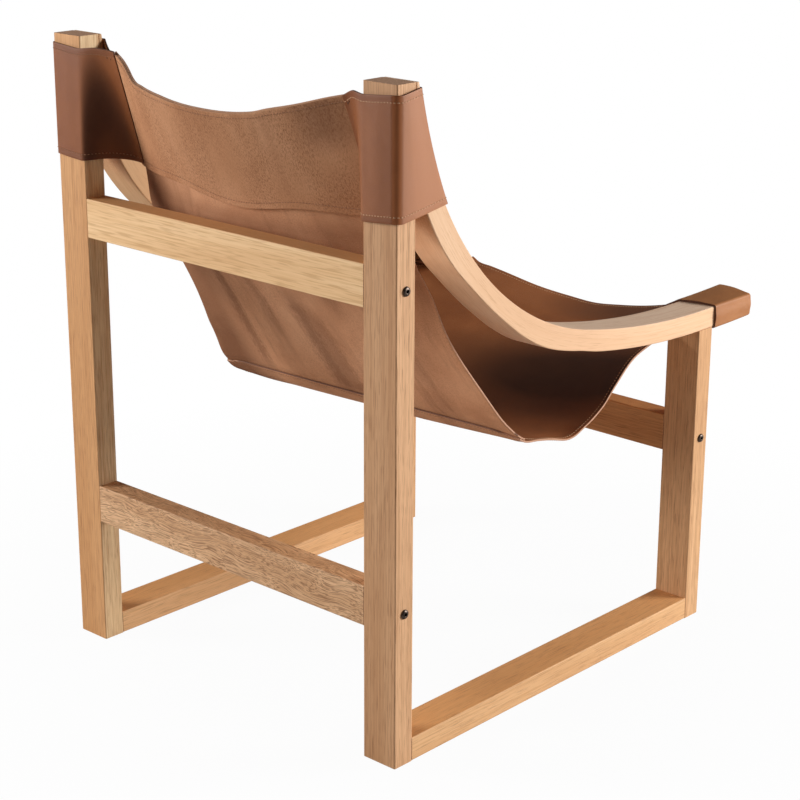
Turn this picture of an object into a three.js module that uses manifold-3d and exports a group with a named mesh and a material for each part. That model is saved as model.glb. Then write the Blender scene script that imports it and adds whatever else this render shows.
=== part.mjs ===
// Leather sling lounge chair. Two glued timber side frames are bolted to three cross rails, and one
// leather sling is sewn round the back posts and closed over the front ends of the arms.
// Millimetres, +Z up. The sitter faces -Y, and +X is the sitter's left.

import * as THREE from 'three';
import { mergeVertices } from 'three/addons/utils/BufferGeometryUtils.js';
import Module from 'manifold-3d';

const wasm = await Module();
wasm.setup();

// Sizes of the timber frame
const chairWidth = 575;
const sideDepth = 615; // back face of a back post to front face of a front post
const postHeight = 800;
const timberWide = 50;
const timberThick = 30;
const timberEase = 1.5; // radius along the long edges
const upperRailClear = 51.5; // top of the upper rail, below the sleeves' lower edge on the back face
const lowerRailHeight = 193; // to the rail's middle
const frontRailDrop = 151.5; // to the rail's middle, down from the arms' undersides

// Sizes of an arm: each edge is a level run, a long sweep and a bend that ends on the back post
const armRise = 363; // posts' tops, above the top of the arm at its front end
const armFrontThick = 27;
const armOverhang = 85; // past the front post
const armRootTall = 99.5; // joint face on the back post, down from the post's top
const armTip = 5; // flat top of the arm against the post
const armTopRun = 26; // level run behind the front face of the front post
const armTopSweepRadius = 1185;
const armTopSweep = THREE.MathUtils.degToRad(12);
const armUnderSweepRadius = 1230;
const armUnderSweep = THREE.MathUtils.degToRad(12.1);

// Sizes of the fixings
const fitGap = 0.3; // clearance round everything that sits in a hole or a leather loop
const boltRadius = 3;
const boltHeadRadius = 6.5;
const boltHeadHeight = 3.6;
const boltRimHeight = 0.9;
const boltDomeShare = 0.8; // of the head's radius, where its dome turns over
const boltReach = 22; // past the joint face, into the insert
const hexAcross = 4;
const hexRim = 0.5; // flat round the hex socket
const hexDepth = 2.2;
const insertRadius = 5;
const insertLength = 25;
const insertRecess = 0.5;
const dowelRadius = 4;
const dowelLength = 30;
const dowelOffset = 15; // each side of the bolt
const tenonWide = 30;
const tenonThick = 10;
const tenonLength = 32;
const armTenonRise = 18; // above the foot of the arm's joint face
const armTenonShare = 0.7; // of the arm's depth there, that the tenon reaches into

// Sizes of the leather
const leatherThick = 2.4;
const sleeveTopInset = 11; // sleeve's top edge on the back face, down from the post's top
const sleeveHeight = 138; // along the back face
const sleeveTilt = THREE.MathUtils.degToRad(7); // both edges rise towards the front
const seamTopReach = 49.5; // sleeve's seam, inwards from the post's inner face
const seamLowReach = 32.5;
const seamTopDrop = 7; // ends of the seam, down from the sleeve's edges
const seamLowDrop = 11;
const seamTopDepthShare = 0.33; // of the way from the post's back face to the arm's front
const seamLowDepthShare = 0.74;
const pocketGap = 2; // pocket's open end, off the front post
const pocketReach = 43; // pocket's seam, inwards from the arm's inner face
const pocketEase = 1.5;
const slingCrownBulge = 16; // middle of the top edge, behind the posts' back faces
const slingCrownDrop = 57; // middle of the top edge, down from the posts' tops
const slingRailClear = 10; // leather in front of the upper rail
const liningRailRise = 23; // lower edge of the lining, above the upper rail
const slingLowDepth = 368; // lowest line of the seat, forward of the posts' back faces
const slingLowDrop = 126; // lowest line of the side edges, down from the top of the arms
const slingMiddleDrop = 5; // middle of that line, lower still
const slingFrontSag = 28.5; // middle of the front edge, below its corners
const slingFrontInset = 12; // front edge, behind the front end of the arms
const slingUnderlap = 12.5; // side edges, out under the arms
const slingSkew = 18; // the left edge hangs this much further back, and the right edge further forward
const slingSkewDrop = 4; // and this much lower on the left, and higher on the right

// Shape of the hanging sling. The back tables run from the lining's edge to the lowest line, and the
// seat tables from there to the front edge.
const sideBackShares = [
  // forward, down, outward
  [0.10, 0.19, 0.49],
  [0.175, 0.302, 0.57],
  [0.30, 0.509, 0.57],
  [0.48, 0.757, 0.88],
  [0.61, 0.91, 1],
  [0.765, 0.985, 1],
  [1, 1, 1],
];
const middleBackShares = [
  // forward, down
  [0.07, 0.14],
  [0.15, 0.25],
  [0.32, 0.47],
  [0.505, 0.73],
  [0.625, 0.885],
  [0.77, 0.985],
  [1, 1],
];
const sideSeatShares = [
  // forward, up, outward
  [0.16, 0.19, 0.97],
  [0.26, 0.415, 0.95],
  [0.40, 0.70, 0.86],
  [0.54, 0.82, 0.76],
  [0.70, 0.90, 0.42],
  [0.79, 0.96, 0],
  [1, 1, 0],
];
const middleSeatShares = [
  // forward, up
  [0.16, 0.08],
  [0.27, 0.28],
  [0.41, 0.53],
  [0.55, 0.70],
  [0.72, 0.86],
  [0.80, 0.93],
  [1, 1],
];
const liningEndShare = 1 / 15; // this and the next four are shares of the way from the top edge to the front
const liningArchShare = 0.0057; // lining's lower edge rises this far each side of its middle
const lowSeamShare = 0.4; // seam between the back and the seat
const skewStartShare = 1 / 3;
const skewFullShare = 0.5;
const skewEndShare = 0.8;
const sagPower = 2.3; // how squarely the leather hangs between its sides
const nudgeShare = 0.0001;

// Round and smooth shapes are cut into this many steps
const roundSteps = 16;
const domeSteps = 4;
const hexSides = 6;
const easeSteps = 2;
const sweepSteps = 6;
const bendSteps = 20;
const cornerSteps = 3;
const sleeveSteps = 7;
const slingAcrossSteps = 18;
const panelSteps = 18;
const liningSteps = 6;

// Places that several pieces share
const innerFace = chairWidth / 2 - timberWide;
const armFrontHeight = postHeight - armRise;
const sleeveBackTop = postHeight - sleeveTopInset;
const sleeveBackLow = sleeveBackTop - sleeveHeight;
const upperRailTop = sleeveBackLow - upperRailClear;
const postMiddle = chairWidth / 2 - timberWide / 2;
const backPostMiddle = -timberThick / 2;
const frontPostMiddle = -(sideDepth - timberThick / 2);
const armUnderHeight = armFrontHeight - armFrontThick;
const armFrontEnd = -(sideDepth + armOverhang);
const armFootHeight = postHeight - armRootTall;

const timberMaterial = new THREE.MeshStandardMaterial({ color: 0xcf9f6b, roughness: 0.55, metalness: 0 });
const armMaterial = new THREE.MeshStandardMaterial({ color: 0xe6bd92, roughness: 0.5, metalness: 0 });
const beechMaterial = new THREE.MeshStandardMaterial({ color: 0xd9bd93, roughness: 0.7, metalness: 0 });
const leatherMaterial = new THREE.MeshStandardMaterial({ color: 0x8a5231, roughness: 0.5, metalness: 0 });
const suedeMaterial = new THREE.MeshStandardMaterial({ color: 0x9c6a4b, roughness: 0.9, metalness: 0 });
const boltMaterial = new THREE.MeshStandardMaterial({ color: 0x3b3733, roughness: 0.35, metalness: 1 });
const insertMaterial = new THREE.MeshStandardMaterial({ color: 0xb09a5e, roughness: 0.4, metalness: 1 });

const chair = new THREE.Group();
chair.name = 'leather_sling_lounge_chair';

// Adds one named piece to the chair
function addPiece(name, geometry, material, place = new THREE.Vector3()) {
  const mesh = new THREE.Mesh(geometry, material);
  mesh.name = name;
  mesh.position.copy(place);
  chair.add(mesh);
  return mesh;
}

// Solids that are cut out of each other
function toSolid(geometry) {
  const bare = geometry.clone();
  bare.deleteAttribute('normal');
  bare.deleteAttribute('uv');
  const joined = mergeVertices(bare);
  const vertProperties = new Float32Array(joined.attributes.position.array);
  const triVerts = new Uint32Array(joined.index.array);
  return new wasm.Manifold(new wasm.Mesh({ numProp: 3, vertProperties, triVerts }));
}

function toGeometry(solid) {
  const mesh = solid.getMesh();
  const geometry = new THREE.BufferGeometry();
  geometry.setAttribute('position', new THREE.BufferAttribute(mesh.vertProperties, 3));
  geometry.setIndex(new THREE.BufferAttribute(mesh.triVerts, 1));
  return geometry;
}

// The cutters are given in the chair's frame, and the geometry in the frame of the piece at place
function carve(geometry, cutters, place = new THREE.Vector3()) {
  let solid = toSolid(geometry);
  for (const cutter of cutters) {
    const moved = cutter.clone().translate(-place.x, -place.y, -place.z);
    solid = solid.subtract(toSolid(moved));
  }
  return toGeometry(solid);
}

// A closed surface through rings of equally many points, looped round or capped at both ends
function loft(rings, looped = false) {
  const count = rings[0].length;
  const faces = [];
  const lastRing = looped ? rings.length : rings.length - 1;
  for (let ring = 0; ring < lastRing; ring += 1) {
    const here = ring * count;
    const there = ((ring + 1) % rings.length) * count;
    for (let k = 0; k < count; k += 1) {
      const next = (k + 1) % count;
      faces.push(here + k, here + next, there + next, here + k, there + next, there + k);
    }
  }
  if (!looped) {
    faces.push(...capFaces(0, count).reverse());
    faces.push(...capFaces((rings.length - 1) * count, count));
  }
  const geometry = new THREE.BufferGeometry();
  geometry.setFromPoints(rings.flat());
  geometry.setIndex(faces);
  return facingOut(geometry);
}

// Triangles that zip one ring shut from its ends to its middle
function capFaces(start, count) {
  const faces = [];
  let low = 0;
  let high = count - 1;
  while (high - low > 1) {
    faces.push(start + low, start + low + 1, start + high);
    low += 1;
    if (high - low > 1) {
      faces.push(start + low, start + high - 1, start + high);
      high -= 1;
    }
  }
  return faces;
}

function facingOut(geometry) {
  const spots = geometry.attributes.position;
  const index = geometry.index.array;
  const [a, b, c] = [new THREE.Vector3(), new THREE.Vector3(), new THREE.Vector3()];
  let volume = 0;
  for (let face = 0; face < index.length; face += 3) {
    a.fromBufferAttribute(spots, index[face]);
    b.fromBufferAttribute(spots, index[face + 1]);
    c.fromBufferAttribute(spots, index[face + 2]);
    volume += a.dot(b.cross(c));
  }
  if (volume < 0) index.reverse();
  return geometry;
}

// Grows a convex outline by a distance, with an arc round each corner. Heights are kept.
function grownRing(corners, distance) {
  const ring = [];
  const count = corners.length;
  corners.forEach((corner, k) => {
    const before = corners[(k + count - 1) % count];
    const after = corners[(k + 1) % count];
    const start = Math.atan2(-(corner.x - before.x), corner.y - before.y);
    const end = Math.atan2(-(after.x - corner.x), after.y - corner.y);
    const turn = Math.atan2(Math.sin(end - start), Math.cos(end - start));
    for (let step = 0; step <= cornerSteps; step += 1) {
      const angle = start + (turn * step) / cornerSteps;
      ring.push(new THREE.Vector3(
        corner.x + distance * Math.cos(angle),
        corner.y + distance * Math.sin(angle),
        corner.z,
      ));
    }
  });
  return ring;
}

// A straight length of timber along Z, from zero up, with eased long edges
function timberLength(length, wide, thick) {
  const [right, far, ease] = [wide / 2, thick / 2, timberEase];
  const section = new THREE.Shape();
  section.absarc(right - ease, far - ease, ease, 0, Math.PI / 2);
  section.absarc(-right + ease, far - ease, ease, Math.PI / 2, Math.PI);
  section.absarc(-right + ease, -far + ease, ease, Math.PI, Math.PI * 1.5);
  section.absarc(right - ease, -far + ease, ease, Math.PI * 1.5, Math.PI * 2);
  return new THREE.ExtrudeGeometry(section, { depth: length, bevelEnabled: false, curveSegments: easeSteps });
}

// Round stock along X, centred
function roundAlongX(radius, length) {
  return new THREE.CylinderGeometry(radius, radius, length, roundSteps).rotateZ(Math.PI / 2);
}

// A flat stick with round edges along Z, centred
function tenonStick(gap) {
  const radius = tenonThick / 2 + gap;
  const straight = (tenonWide - tenonThick) / 2;
  const section = new THREE.Shape();
  section.absarc(straight, 0, radius, -Math.PI / 2, Math.PI / 2);
  section.absarc(-straight, 0, radius, Math.PI / 2, Math.PI * 1.5);
  const length = tenonLength + 2 * gap;
  const settings = { depth: length, bevelEnabled: false, curveSegments: roundSteps / 4 };
  return new THREE.ExtrudeGeometry(section, settings).translate(0, 0, -length / 2);
}

// One edge of an arm, from its front end to the back post, as points in depth and height.
// The bend is the one arc that leaves the sweep smoothly and reaches the end.
function armEdge(frontHeight, levelRun, sweepRadius, sweep, end) {
  const sweepEnd = new THREE.Vector2(
    armFrontEnd + levelRun + sweepRadius * Math.sin(sweep),
    frontHeight + sweepRadius * (1 - Math.cos(sweep)),
  );
  const points = [
    new THREE.Vector2(armFrontEnd, frontHeight),
    new THREE.Vector2(armFrontEnd + levelRun, frontHeight),
  ];
  for (let step = 1; step <= sweepSteps; step += 1) {
    const angle = (sweep * step) / sweepSteps;
    points.push(new THREE.Vector2(
      armFrontEnd + levelRun + sweepRadius * Math.sin(angle),
      frontHeight + sweepRadius * (1 - Math.cos(angle)),
    ));
  }
  const inward = new THREE.Vector2(-Math.sin(sweep), Math.cos(sweep));
  const reach = end.clone().sub(sweepEnd);
  const bendRadius = reach.lengthSq() / (2 * inward.dot(reach));
  const centre = sweepEnd.clone().addScaledVector(inward, bendRadius);
  const bend = Math.atan2(end.x - centre.x, centre.y - end.y) - sweep;
  for (let step = 1; step <= bendSteps; step += 1) {
    const angle = sweep + (bend * step) / bendSteps;
    points.push(new THREE.Vector2(
      centre.x + bendRadius * Math.sin(angle),
      centre.y - bendRadius * Math.cos(angle),
    ));
  }
  return points;
}

const armTipEnd = new THREE.Vector2(-(timberThick + armTip), postHeight);
const armFootEnd = new THREE.Vector2(-timberThick, armFootHeight);
const armTopEdge = armEdge(
  armFrontHeight, armOverhang + armTopRun, armTopSweepRadius, armTopSweep, armTipEnd,
);
const armUnderEdge = armEdge(
  armUnderHeight, armOverhang + timberThick, armUnderSweepRadius, armUnderSweep, armFootEnd,
);

// Depth of the arm's top edge at a height on its bend
function armFrontAt(height) {
  for (let k = armTopEdge.length - 1; k > 0; k -= 1) {
    const [high, low] = [armTopEdge[k], armTopEdge[k - 1]];
    if (height <= high.y && height >= low.y && high.y > low.y) {
      return THREE.MathUtils.mapLinear(height, low.y, high.y, low.x, high.x);
    }
  }
  return armTipEnd.x;
}

// Joints. Each returns the cutters that its pieces need.
const crossRails = [
  { name: 'upper_back_rail', depth: backPostMiddle, height: upperRailTop - timberWide / 2 },
  { name: 'lower_back_rail', depth: backPostMiddle, height: lowerRailHeight },
  { name: 'front_rail', depth: frontPostMiddle, height: armUnderHeight - frontRailDrop },
];
const sides = [
  { name: 'left', sign: 1 },
  { name: 'right', sign: -1 },
];

function boltGeometry() {
  const hexRadius = hexAcross / (2 * Math.cos(Math.PI / hexSides));
  const dome = new THREE.QuadraticBezierCurve(
    new THREE.Vector2(boltHeadRadius, boltRimHeight),
    new THREE.Vector2(boltHeadRadius * boltDomeShare, boltHeadHeight),
    new THREE.Vector2(hexRadius + hexRim, boltHeadHeight),
  );
  const profile = [
    new THREE.Vector2(0, -(timberWide + boltReach)),
    new THREE.Vector2(boltRadius, -(timberWide + boltReach)),
    new THREE.Vector2(boltRadius, 0),
    new THREE.Vector2(boltHeadRadius, 0),
    ...dome.getPoints(domeSteps),
    new THREE.Vector2(0, boltHeadHeight),
  ];
  const body = new THREE.LatheGeometry(profile, roundSteps);
  const socket = new THREE.CylinderGeometry(hexRadius, hexRadius, 2 * hexDepth, hexSides);
  socket.translate(0, boltHeadHeight, 0);
  return carve(body, [socket]);
}

function insertGeometry() {
  const bore = boltRadius + fitGap;
  const profile = [
    new THREE.Vector2(bore, 0),
    new THREE.Vector2(insertRadius, 0),
    new THREE.Vector2(insertRadius, insertLength),
    new THREE.Vector2(bore, insertLength),
    new THREE.Vector2(bore, 0),
  ];
  return facingOut(mergeVertices(new THREE.LatheGeometry(profile, roundSteps).deleteAttribute('uv')
    .deleteAttribute('normal')));
}

// Bolt, insert and two dowels at one end of a cross rail
function addRailFixings(rail, side) {
  const label = `${rail.name}_${side.name}`;
  const quarterTurn = (-side.sign * Math.PI) / 2;
  const bolt = boltGeometry().rotateZ(quarterTurn);
  const outerFace = side.sign * (chairWidth / 2);
  addPiece(`bolt_${label}`, bolt, boltMaterial, new THREE.Vector3(outerFace, rail.depth, rail.height));

  const insert = insertGeometry().rotateZ(-quarterTurn);
  const insertStart = side.sign * (innerFace - insertRecess);
  addPiece(`insert_${label}`, insert, insertMaterial, new THREE.Vector3(insertStart, rail.depth, rail.height));

  const boltBore = roundAlongX(boltRadius + fitGap, 2 * timberWide);
  boltBore.translate(outerFace, rail.depth, rail.height);
  const insertBoreLength = insertRecess + insertLength + fitGap;
  const insertBore = roundAlongX(insertRadius + fitGap, 2 * insertBoreLength);
  insertBore.translate(side.sign * innerFace, rail.depth, rail.height);

  const dowelBores = [-1, 1].map((way) => {
    const height = rail.height + way * dowelOffset;
    const dowel = roundAlongX(dowelRadius, dowelLength);
    const dowelName = `dowel_${label}_${way > 0 ? 'top' : 'low'}`;
    addPiece(dowelName, dowel, beechMaterial, new THREE.Vector3(side.sign * innerFace, rail.depth, height));
    const bore = roundAlongX(dowelRadius + fitGap, dowelLength + 2 * fitGap);
    return bore.translate(side.sign * innerFace, rail.depth, height);
  });
  return { post: [boltBore, ...dowelBores], rail: [insertBore, ...dowelBores] };
}

// Loose tenon across one glued corner of a side frame, upright or running forward
function addTenon(name, place, upright) {
  const turn = upright ? 0 : Math.PI / 2;
  addPiece(name, tenonStick(0).rotateX(turn), beechMaterial, place);
  return tenonStick(fitGap).rotateX(turn).translate(place.x, place.y, place.z);
}

// One glued side frame: back post, front post, bottom rail and arm
function addSideFrame(side, railCutters) {
  const across = side.sign * postMiddle;
  const backFoot = new THREE.Vector3(across, -timberThick, timberThick / 2);
  const frontFoot = new THREE.Vector3(across, timberThick - sideDepth, timberThick / 2);
  const armFront = new THREE.Vector3(across, frontPostMiddle, armUnderHeight);
  const rootHeight = armFootHeight + armTenonRise;
  const rootDepth = -timberThick - armFrontAt(rootHeight + tenonThick / 2);
  const rootShift = tenonLength / 2 - armTenonShare * rootDepth;
  const armRoot = new THREE.Vector3(across, rootShift - timberThick, rootHeight);
  const backFootBore = addTenon(`tenon_back_foot_${side.name}`, backFoot, false);
  const frontFootBore = addTenon(`tenon_front_foot_${side.name}`, frontFoot, false);
  const armFrontBore = addTenon(`tenon_arm_front_${side.name}`, armFront, true);
  const armRootBore = addTenon(`tenon_arm_back_${side.name}`, armRoot, false);

  const backPlace = new THREE.Vector3(across, backPostMiddle, 0);
  const backPost = timberLength(postHeight, timberWide, timberThick);
  const backBores = [...railCutters.back, backFootBore, armRootBore];
  addPiece(`back_post_${side.name}`, carve(backPost, backBores, backPlace), timberMaterial, backPlace);

  const frontPlace = new THREE.Vector3(across, frontPostMiddle, 0);
  const frontPost = timberLength(armUnderHeight, timberWide, timberThick);
  const frontBores = [...railCutters.front, frontFootBore, armFrontBore];
  addPiece(`front_post_${side.name}`, carve(frontPost, frontBores, frontPlace), timberMaterial, frontPlace);

  const footPlace = new THREE.Vector3(across, -timberThick, timberThick / 2);
  const footLength = sideDepth - 2 * timberThick;
  const footRail = timberLength(footLength, timberWide, timberThick).rotateX(Math.PI / 2);
  const footBores = [backFootBore, frontFootBore];
  addPiece(`bottom_rail_${side.name}`, carve(footRail, footBores, footPlace), timberMaterial, footPlace);

  const tipCorner = new THREE.Vector2(-timberThick, postHeight);
  const outline = new THREE.Shape([...armTopEdge, tipCorner, ...armUnderEdge.slice().reverse()]);
  const arm = new THREE.ExtrudeGeometry(outline, {
    depth: timberWide - 2 * timberEase,
    bevelThickness: timberEase,
    bevelSize: timberEase,
    bevelOffset: -timberEase,
    bevelSegments: easeSteps,
  });
  arm.translate(0, 0, timberEase - timberWide / 2);
  const standing = new THREE.Matrix4().makeBasis(
    new THREE.Vector3(0, 1, 0), new THREE.Vector3(0, 0, 1), new THREE.Vector3(1, 0, 0),
  );
  arm.applyMatrix4(standing);
  const armPlace = new THREE.Vector3(across, 0, 0);
  const armBores = [armFrontBore, armRootBore];
  addPiece(`arm_${side.name}`, carve(arm, armBores, armPlace), armMaterial, armPlace);
}

function addFrame() {
  const railBores = new Map(crossRails.map((rail) => [rail.name, []]));
  for (const side of sides) {
    const railCutters = { back: [], front: [] };
    for (const rail of crossRails) {
      const cutters = addRailFixings(rail, side);
      const post = rail.depth === backPostMiddle ? railCutters.back : railCutters.front;
      post.push(...cutters.post);
      railBores.get(rail.name).push(...cutters.rail);
    }
    addSideFrame(side, railCutters);
  }
  for (const rail of crossRails) {
    const place = new THREE.Vector3(-innerFace, rail.depth, rail.height);
    const length = timberLength(2 * innerFace, timberWide, timberThick);
    length.rotateY(Math.PI / 2);
    addPiece(rail.name, carve(length, railBores.get(rail.name), place), timberMaterial, place);
  }
}

// Ends of a sleeve's seam, on the left side of the chair
function sleeveSeam() {
  const topHeight = sleeveBackTop - seamTopDrop;
  const lowHeight = sleeveBackLow - seamLowDrop;
  return {
    top: new THREE.Vector3(innerFace - seamTopReach, seamTopDepthShare * armFrontAt(topHeight), topHeight),
    low: new THREE.Vector3(innerFace - seamLowReach, seamLowDepthShare * armFrontAt(lowHeight), lowHeight),
  };
}

const seam = sleeveSeam();
const pocketSeam = innerFace - pocketReach;

// Corners of the space inside a sleeve, at a share of the way from its lower to its upper edge
function sleeveCorners(share, sign) {
  const rise = Math.tan(sleeveTilt);
  const backHeight = THREE.MathUtils.lerp(sleeveBackLow, sleeveBackTop, share);
  let front = armFrontAt(backHeight);
  const frontHeight = backHeight - rise * front;
  front = armFrontAt(frontHeight);
  const sewn = new THREE.Vector3().lerpVectors(seam.low, seam.top, share);
  const corners = [
    new THREE.Vector3(innerFace, 0, backHeight),
    sewn,
    new THREE.Vector3(innerFace, front, frontHeight),
    new THREE.Vector3(innerFace + timberWide, front, frontHeight),
    new THREE.Vector3(innerFace + timberWide, 0, backHeight),
  ];
  if (sign > 0) return corners;
  return corners.map((corner) => new THREE.Vector3(-corner.x, corner.y, corner.z)).reverse();
}

// Leather loop round a back post and the arm in front of it, drawn in to the sling's seam
function addSleeve(side) {
  const rings = [];
  for (let step = 0; step <= sleeveSteps; step += 1) {
    rings.push(grownRing(sleeveCorners(step / sleeveSteps, side.sign), fitGap + leatherThick));
  }
  for (let step = sleeveSteps; step >= 0; step -= 1) {
    rings.push(grownRing(sleeveCorners(step / sleeveSteps, side.sign), fitGap));
  }
  addPiece(`sling_sleeve_${side.name}`, loft(rings, true), leatherMaterial);
}

// Leather pocket over the front end of an arm. Its rings are drawn in width and height.
function addPocket(side) {
  const corners = [
    new THREE.Vector3(innerFace, armFrontHeight, 0),
    new THREE.Vector3(pocketSeam, armUnderHeight, 0),
    new THREE.Vector3(innerFace + timberWide, armUnderHeight, 0),
    new THREE.Vector3(innerFace + timberWide, armFrontHeight, 0),
  ];
  const ringAt = (distance, depth) => grownRing(corners, distance)
    .map((point) => new THREE.Vector3(side.sign * point.x, depth, point.y));
  const openEnd = -(sideDepth + pocketGap);
  const innerEnd = armFrontEnd - fitGap;
  const outerEnd = innerEnd - leatherThick;
  const outside = fitGap + leatherThick;
  const rings = [
    ringAt(outside - pocketEase, outerEnd),
    ringAt(outside, outerEnd + pocketEase),
    ringAt(outside, openEnd),
    ringAt(fitGap, openEnd),
    ringAt(fitGap, innerEnd),
  ];
  addPiece(`sling_pocket_${side.name}`, loft(rings), leatherMaterial);
}

// The two curves that the sling hangs on: its left edge, and its middle
function slingCurves() {
  const edgeInset = leatherThick + 2 * fitGap;
  const lowHeight = armFrontHeight - slingLowDrop;
  const frontDepth = armFrontEnd + slingFrontInset;
  const spread = innerFace + slingUnderlap;
  const sideStart = new THREE.Vector3(seam.low.x - edgeInset, seam.low.y, seam.low.z);
  const sideLow = new THREE.Vector3(spread, -slingLowDepth, lowHeight);
  const sideFront = new THREE.Vector3(pocketSeam - edgeInset, frontDepth, armUnderHeight);
  const side = [new THREE.Vector3(seam.top.x - edgeInset, seam.top.y, seam.top.z), sideStart];
  for (const [forward, down, outward] of sideBackShares) {
    side.push(new THREE.Vector3(
      THREE.MathUtils.lerp(sideStart.x, sideLow.x, outward),
      THREE.MathUtils.lerp(sideStart.y, sideLow.y, forward),
      THREE.MathUtils.lerp(sideStart.z, sideLow.z, down),
    ));
  }
  for (const [forward, up, outward] of sideSeatShares) {
    side.push(new THREE.Vector3(
      THREE.MathUtils.lerp(sideFront.x, sideLow.x, outward),
      THREE.MathUtils.lerp(sideLow.y, sideFront.y, forward),
      THREE.MathUtils.lerp(sideLow.z, sideFront.z, up),
    ));
  }

  const crown = new THREE.Vector3(0, slingCrownBulge, postHeight - slingCrownDrop);
  const middleStart = new THREE.Vector3(0, -(timberThick + slingRailClear), upperRailTop + liningRailRise);
  const middleLow = new THREE.Vector3(0, -slingLowDepth, lowHeight - slingMiddleDrop);
  const middleFront = new THREE.Vector3(0, frontDepth, armUnderHeight - slingFrontSag);
  const middle = [crown, middleStart];
  for (const [forward, down] of middleBackShares) {
    middle.push(new THREE.Vector3(
      0,
      THREE.MathUtils.lerp(middleStart.y, middleLow.y, forward),
      THREE.MathUtils.lerp(middleStart.z, middleLow.z, down),
    ));
  }
  for (const [forward, up] of middleSeatShares) {
    middle.push(new THREE.Vector3(
      0,
      THREE.MathUtils.lerp(middleLow.y, middleFront.y, forward),
      THREE.MathUtils.lerp(middleLow.z, middleFront.z, up),
    ));
  }
  return { side, middle };
}

const slingPoints = slingCurves();
const sideCurve = new THREE.CatmullRomCurve3(slingPoints.side);
const middleCurve = new THREE.CatmullRomCurve3(slingPoints.middle);

// Point of the sling's middle layer: across runs from -1 to 1, and along from 0 at the top edge to 1 at the
// front edge
function slingPoint(across, along) {
  const side = sideCurve.getPoint(along);
  const middle = middleCurve.getPoint(along);
  const outward = Math.abs(across) ** sagPower;
  const skewIn = THREE.MathUtils.smoothstep(along, skewStartShare, skewFullShare);
  const skewOut = THREE.MathUtils.smoothstep(along, skewFullShare, skewEndShare);
  const skewShare = across * skewIn * (1 - skewOut);
  return new THREE.Vector3(
    side.x * across,
    THREE.MathUtils.lerp(middle.y, side.y, outward) + slingSkew * skewShare,
    THREE.MathUtils.lerp(middle.z, side.z, outward) - slingSkewDrop * skewShare,
  );
}

// Unit vector out of the sling's underside
function slingNormal(across, along) {
  const left = Math.min(across + nudgeShare, 1);
  const fore = Math.min(along + nudgeShare, 1);
  const alongWidth = slingPoint(left, along).sub(slingPoint(left - nudgeShare, along));
  const alongLength = slingPoint(across, fore).sub(slingPoint(across, fore - nudgeShare));
  return alongWidth.cross(alongLength).normalize();
}

// A layer of leather that follows the sling, between two offsets off its middle layer. It ends where endAt
// says across the width.
function slingLayer(start, endAt, steps, nearOffset, farOffset) {
  const rings = [];
  for (let row = 0; row <= steps; row += 1) {
    const near = [];
    const far = [];
    for (let column = 0; column <= slingAcrossSteps; column += 1) {
      const across = (2 * column) / slingAcrossSteps - 1;
      const along = THREE.MathUtils.lerp(start, endAt(across), row / steps);
      const normal = slingNormal(across, along);
      near.push(slingPoint(across, along).addScaledVector(normal, nearOffset));
      far.push(slingPoint(across, along).addScaledVector(normal, farOffset));
    }
    rings.push([...near, ...far.reverse()]);
  }
  return loft(rings);
}

// Least length of leather, along any line from back to front, that a unit of along covers at the low seam
function paceAtSeam() {
  const paces = [0, 1].map((across) => slingPoint(across, lowSeamShare)
    .distanceTo(slingPoint(across, lowSeamShare + nudgeShare)) / nudgeShare);
  return Math.min(...paces);
}

function addSling() {
  const half = leatherThick / 2;
  const seatStart = lowSeamShare + fitGap / paceAtSeam();
  const liningEnd = (across) => liningEndShare - liningArchShare * Math.sin(Math.PI * Math.abs(across));
  const back = slingLayer(0, () => lowSeamShare, panelSteps, -half, half);
  const seat = slingLayer(seatStart, () => 1, panelSteps, -half, half);
  const liningNear = half + fitGap;
  const lining = slingLayer(0, liningEnd, liningSteps, liningNear, liningNear + leatherThick);
  addPiece('sling_back_panel', back, suedeMaterial);
  addPiece('sling_seat_panel', seat, suedeMaterial);
  addPiece('sling_back_lining', lining, suedeMaterial);
  for (const side of sides) {
    addSleeve(side);
    addPocket(side);
  }
}

addFrame();
addSling();

// The origin lies on the floor, in the middle of the chair's width and depth
chair.updateMatrixWorld(true);
const bounds = new THREE.Box3().setFromObject(chair);
chair.position.y = -(bounds.min.y + bounds.max.y) / 2;

export default chair;
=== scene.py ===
import math
import bmesh
import bpy
from mathutils import Matrix, Vector


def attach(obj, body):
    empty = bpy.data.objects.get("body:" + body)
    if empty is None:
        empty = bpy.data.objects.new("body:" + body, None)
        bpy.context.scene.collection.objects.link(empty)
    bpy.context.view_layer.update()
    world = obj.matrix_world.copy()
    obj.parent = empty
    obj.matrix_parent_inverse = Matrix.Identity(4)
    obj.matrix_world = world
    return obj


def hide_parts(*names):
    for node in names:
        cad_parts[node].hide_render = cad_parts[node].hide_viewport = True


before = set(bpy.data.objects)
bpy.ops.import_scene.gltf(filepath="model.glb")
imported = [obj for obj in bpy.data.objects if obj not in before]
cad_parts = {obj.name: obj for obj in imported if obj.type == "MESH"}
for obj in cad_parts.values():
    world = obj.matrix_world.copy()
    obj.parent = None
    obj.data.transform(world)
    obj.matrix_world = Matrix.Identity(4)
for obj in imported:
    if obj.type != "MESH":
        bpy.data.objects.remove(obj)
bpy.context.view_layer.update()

mm = 0.001
backShift = 341.5816  # back faces of the back posts, behind the middle of the chair's depth
sides = (("left", 1), ("right", -1))  # the sitter's left is on +X
leather = {"thick": 2.4, "layer": 2.7, "rub": 0.5, "rubFrom": math.radians(50)}
hideWide, hideLong, seamAt = 0.24, 1.15, 0.4  # the flat hide in metres, and the low seam's share of its length
sleeveWide, sleeveHigh = 0.3, 0.138  # a flat sleeve in metres


def spot(x, y, z):
    # millimetres from the back faces of the posts and the floor, to metres in the frame
    return Vector((x * mm, (y + backShift) * mm, z * mm))


def blendTo(a, b, share):
    return a + (b - a) * share


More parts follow.
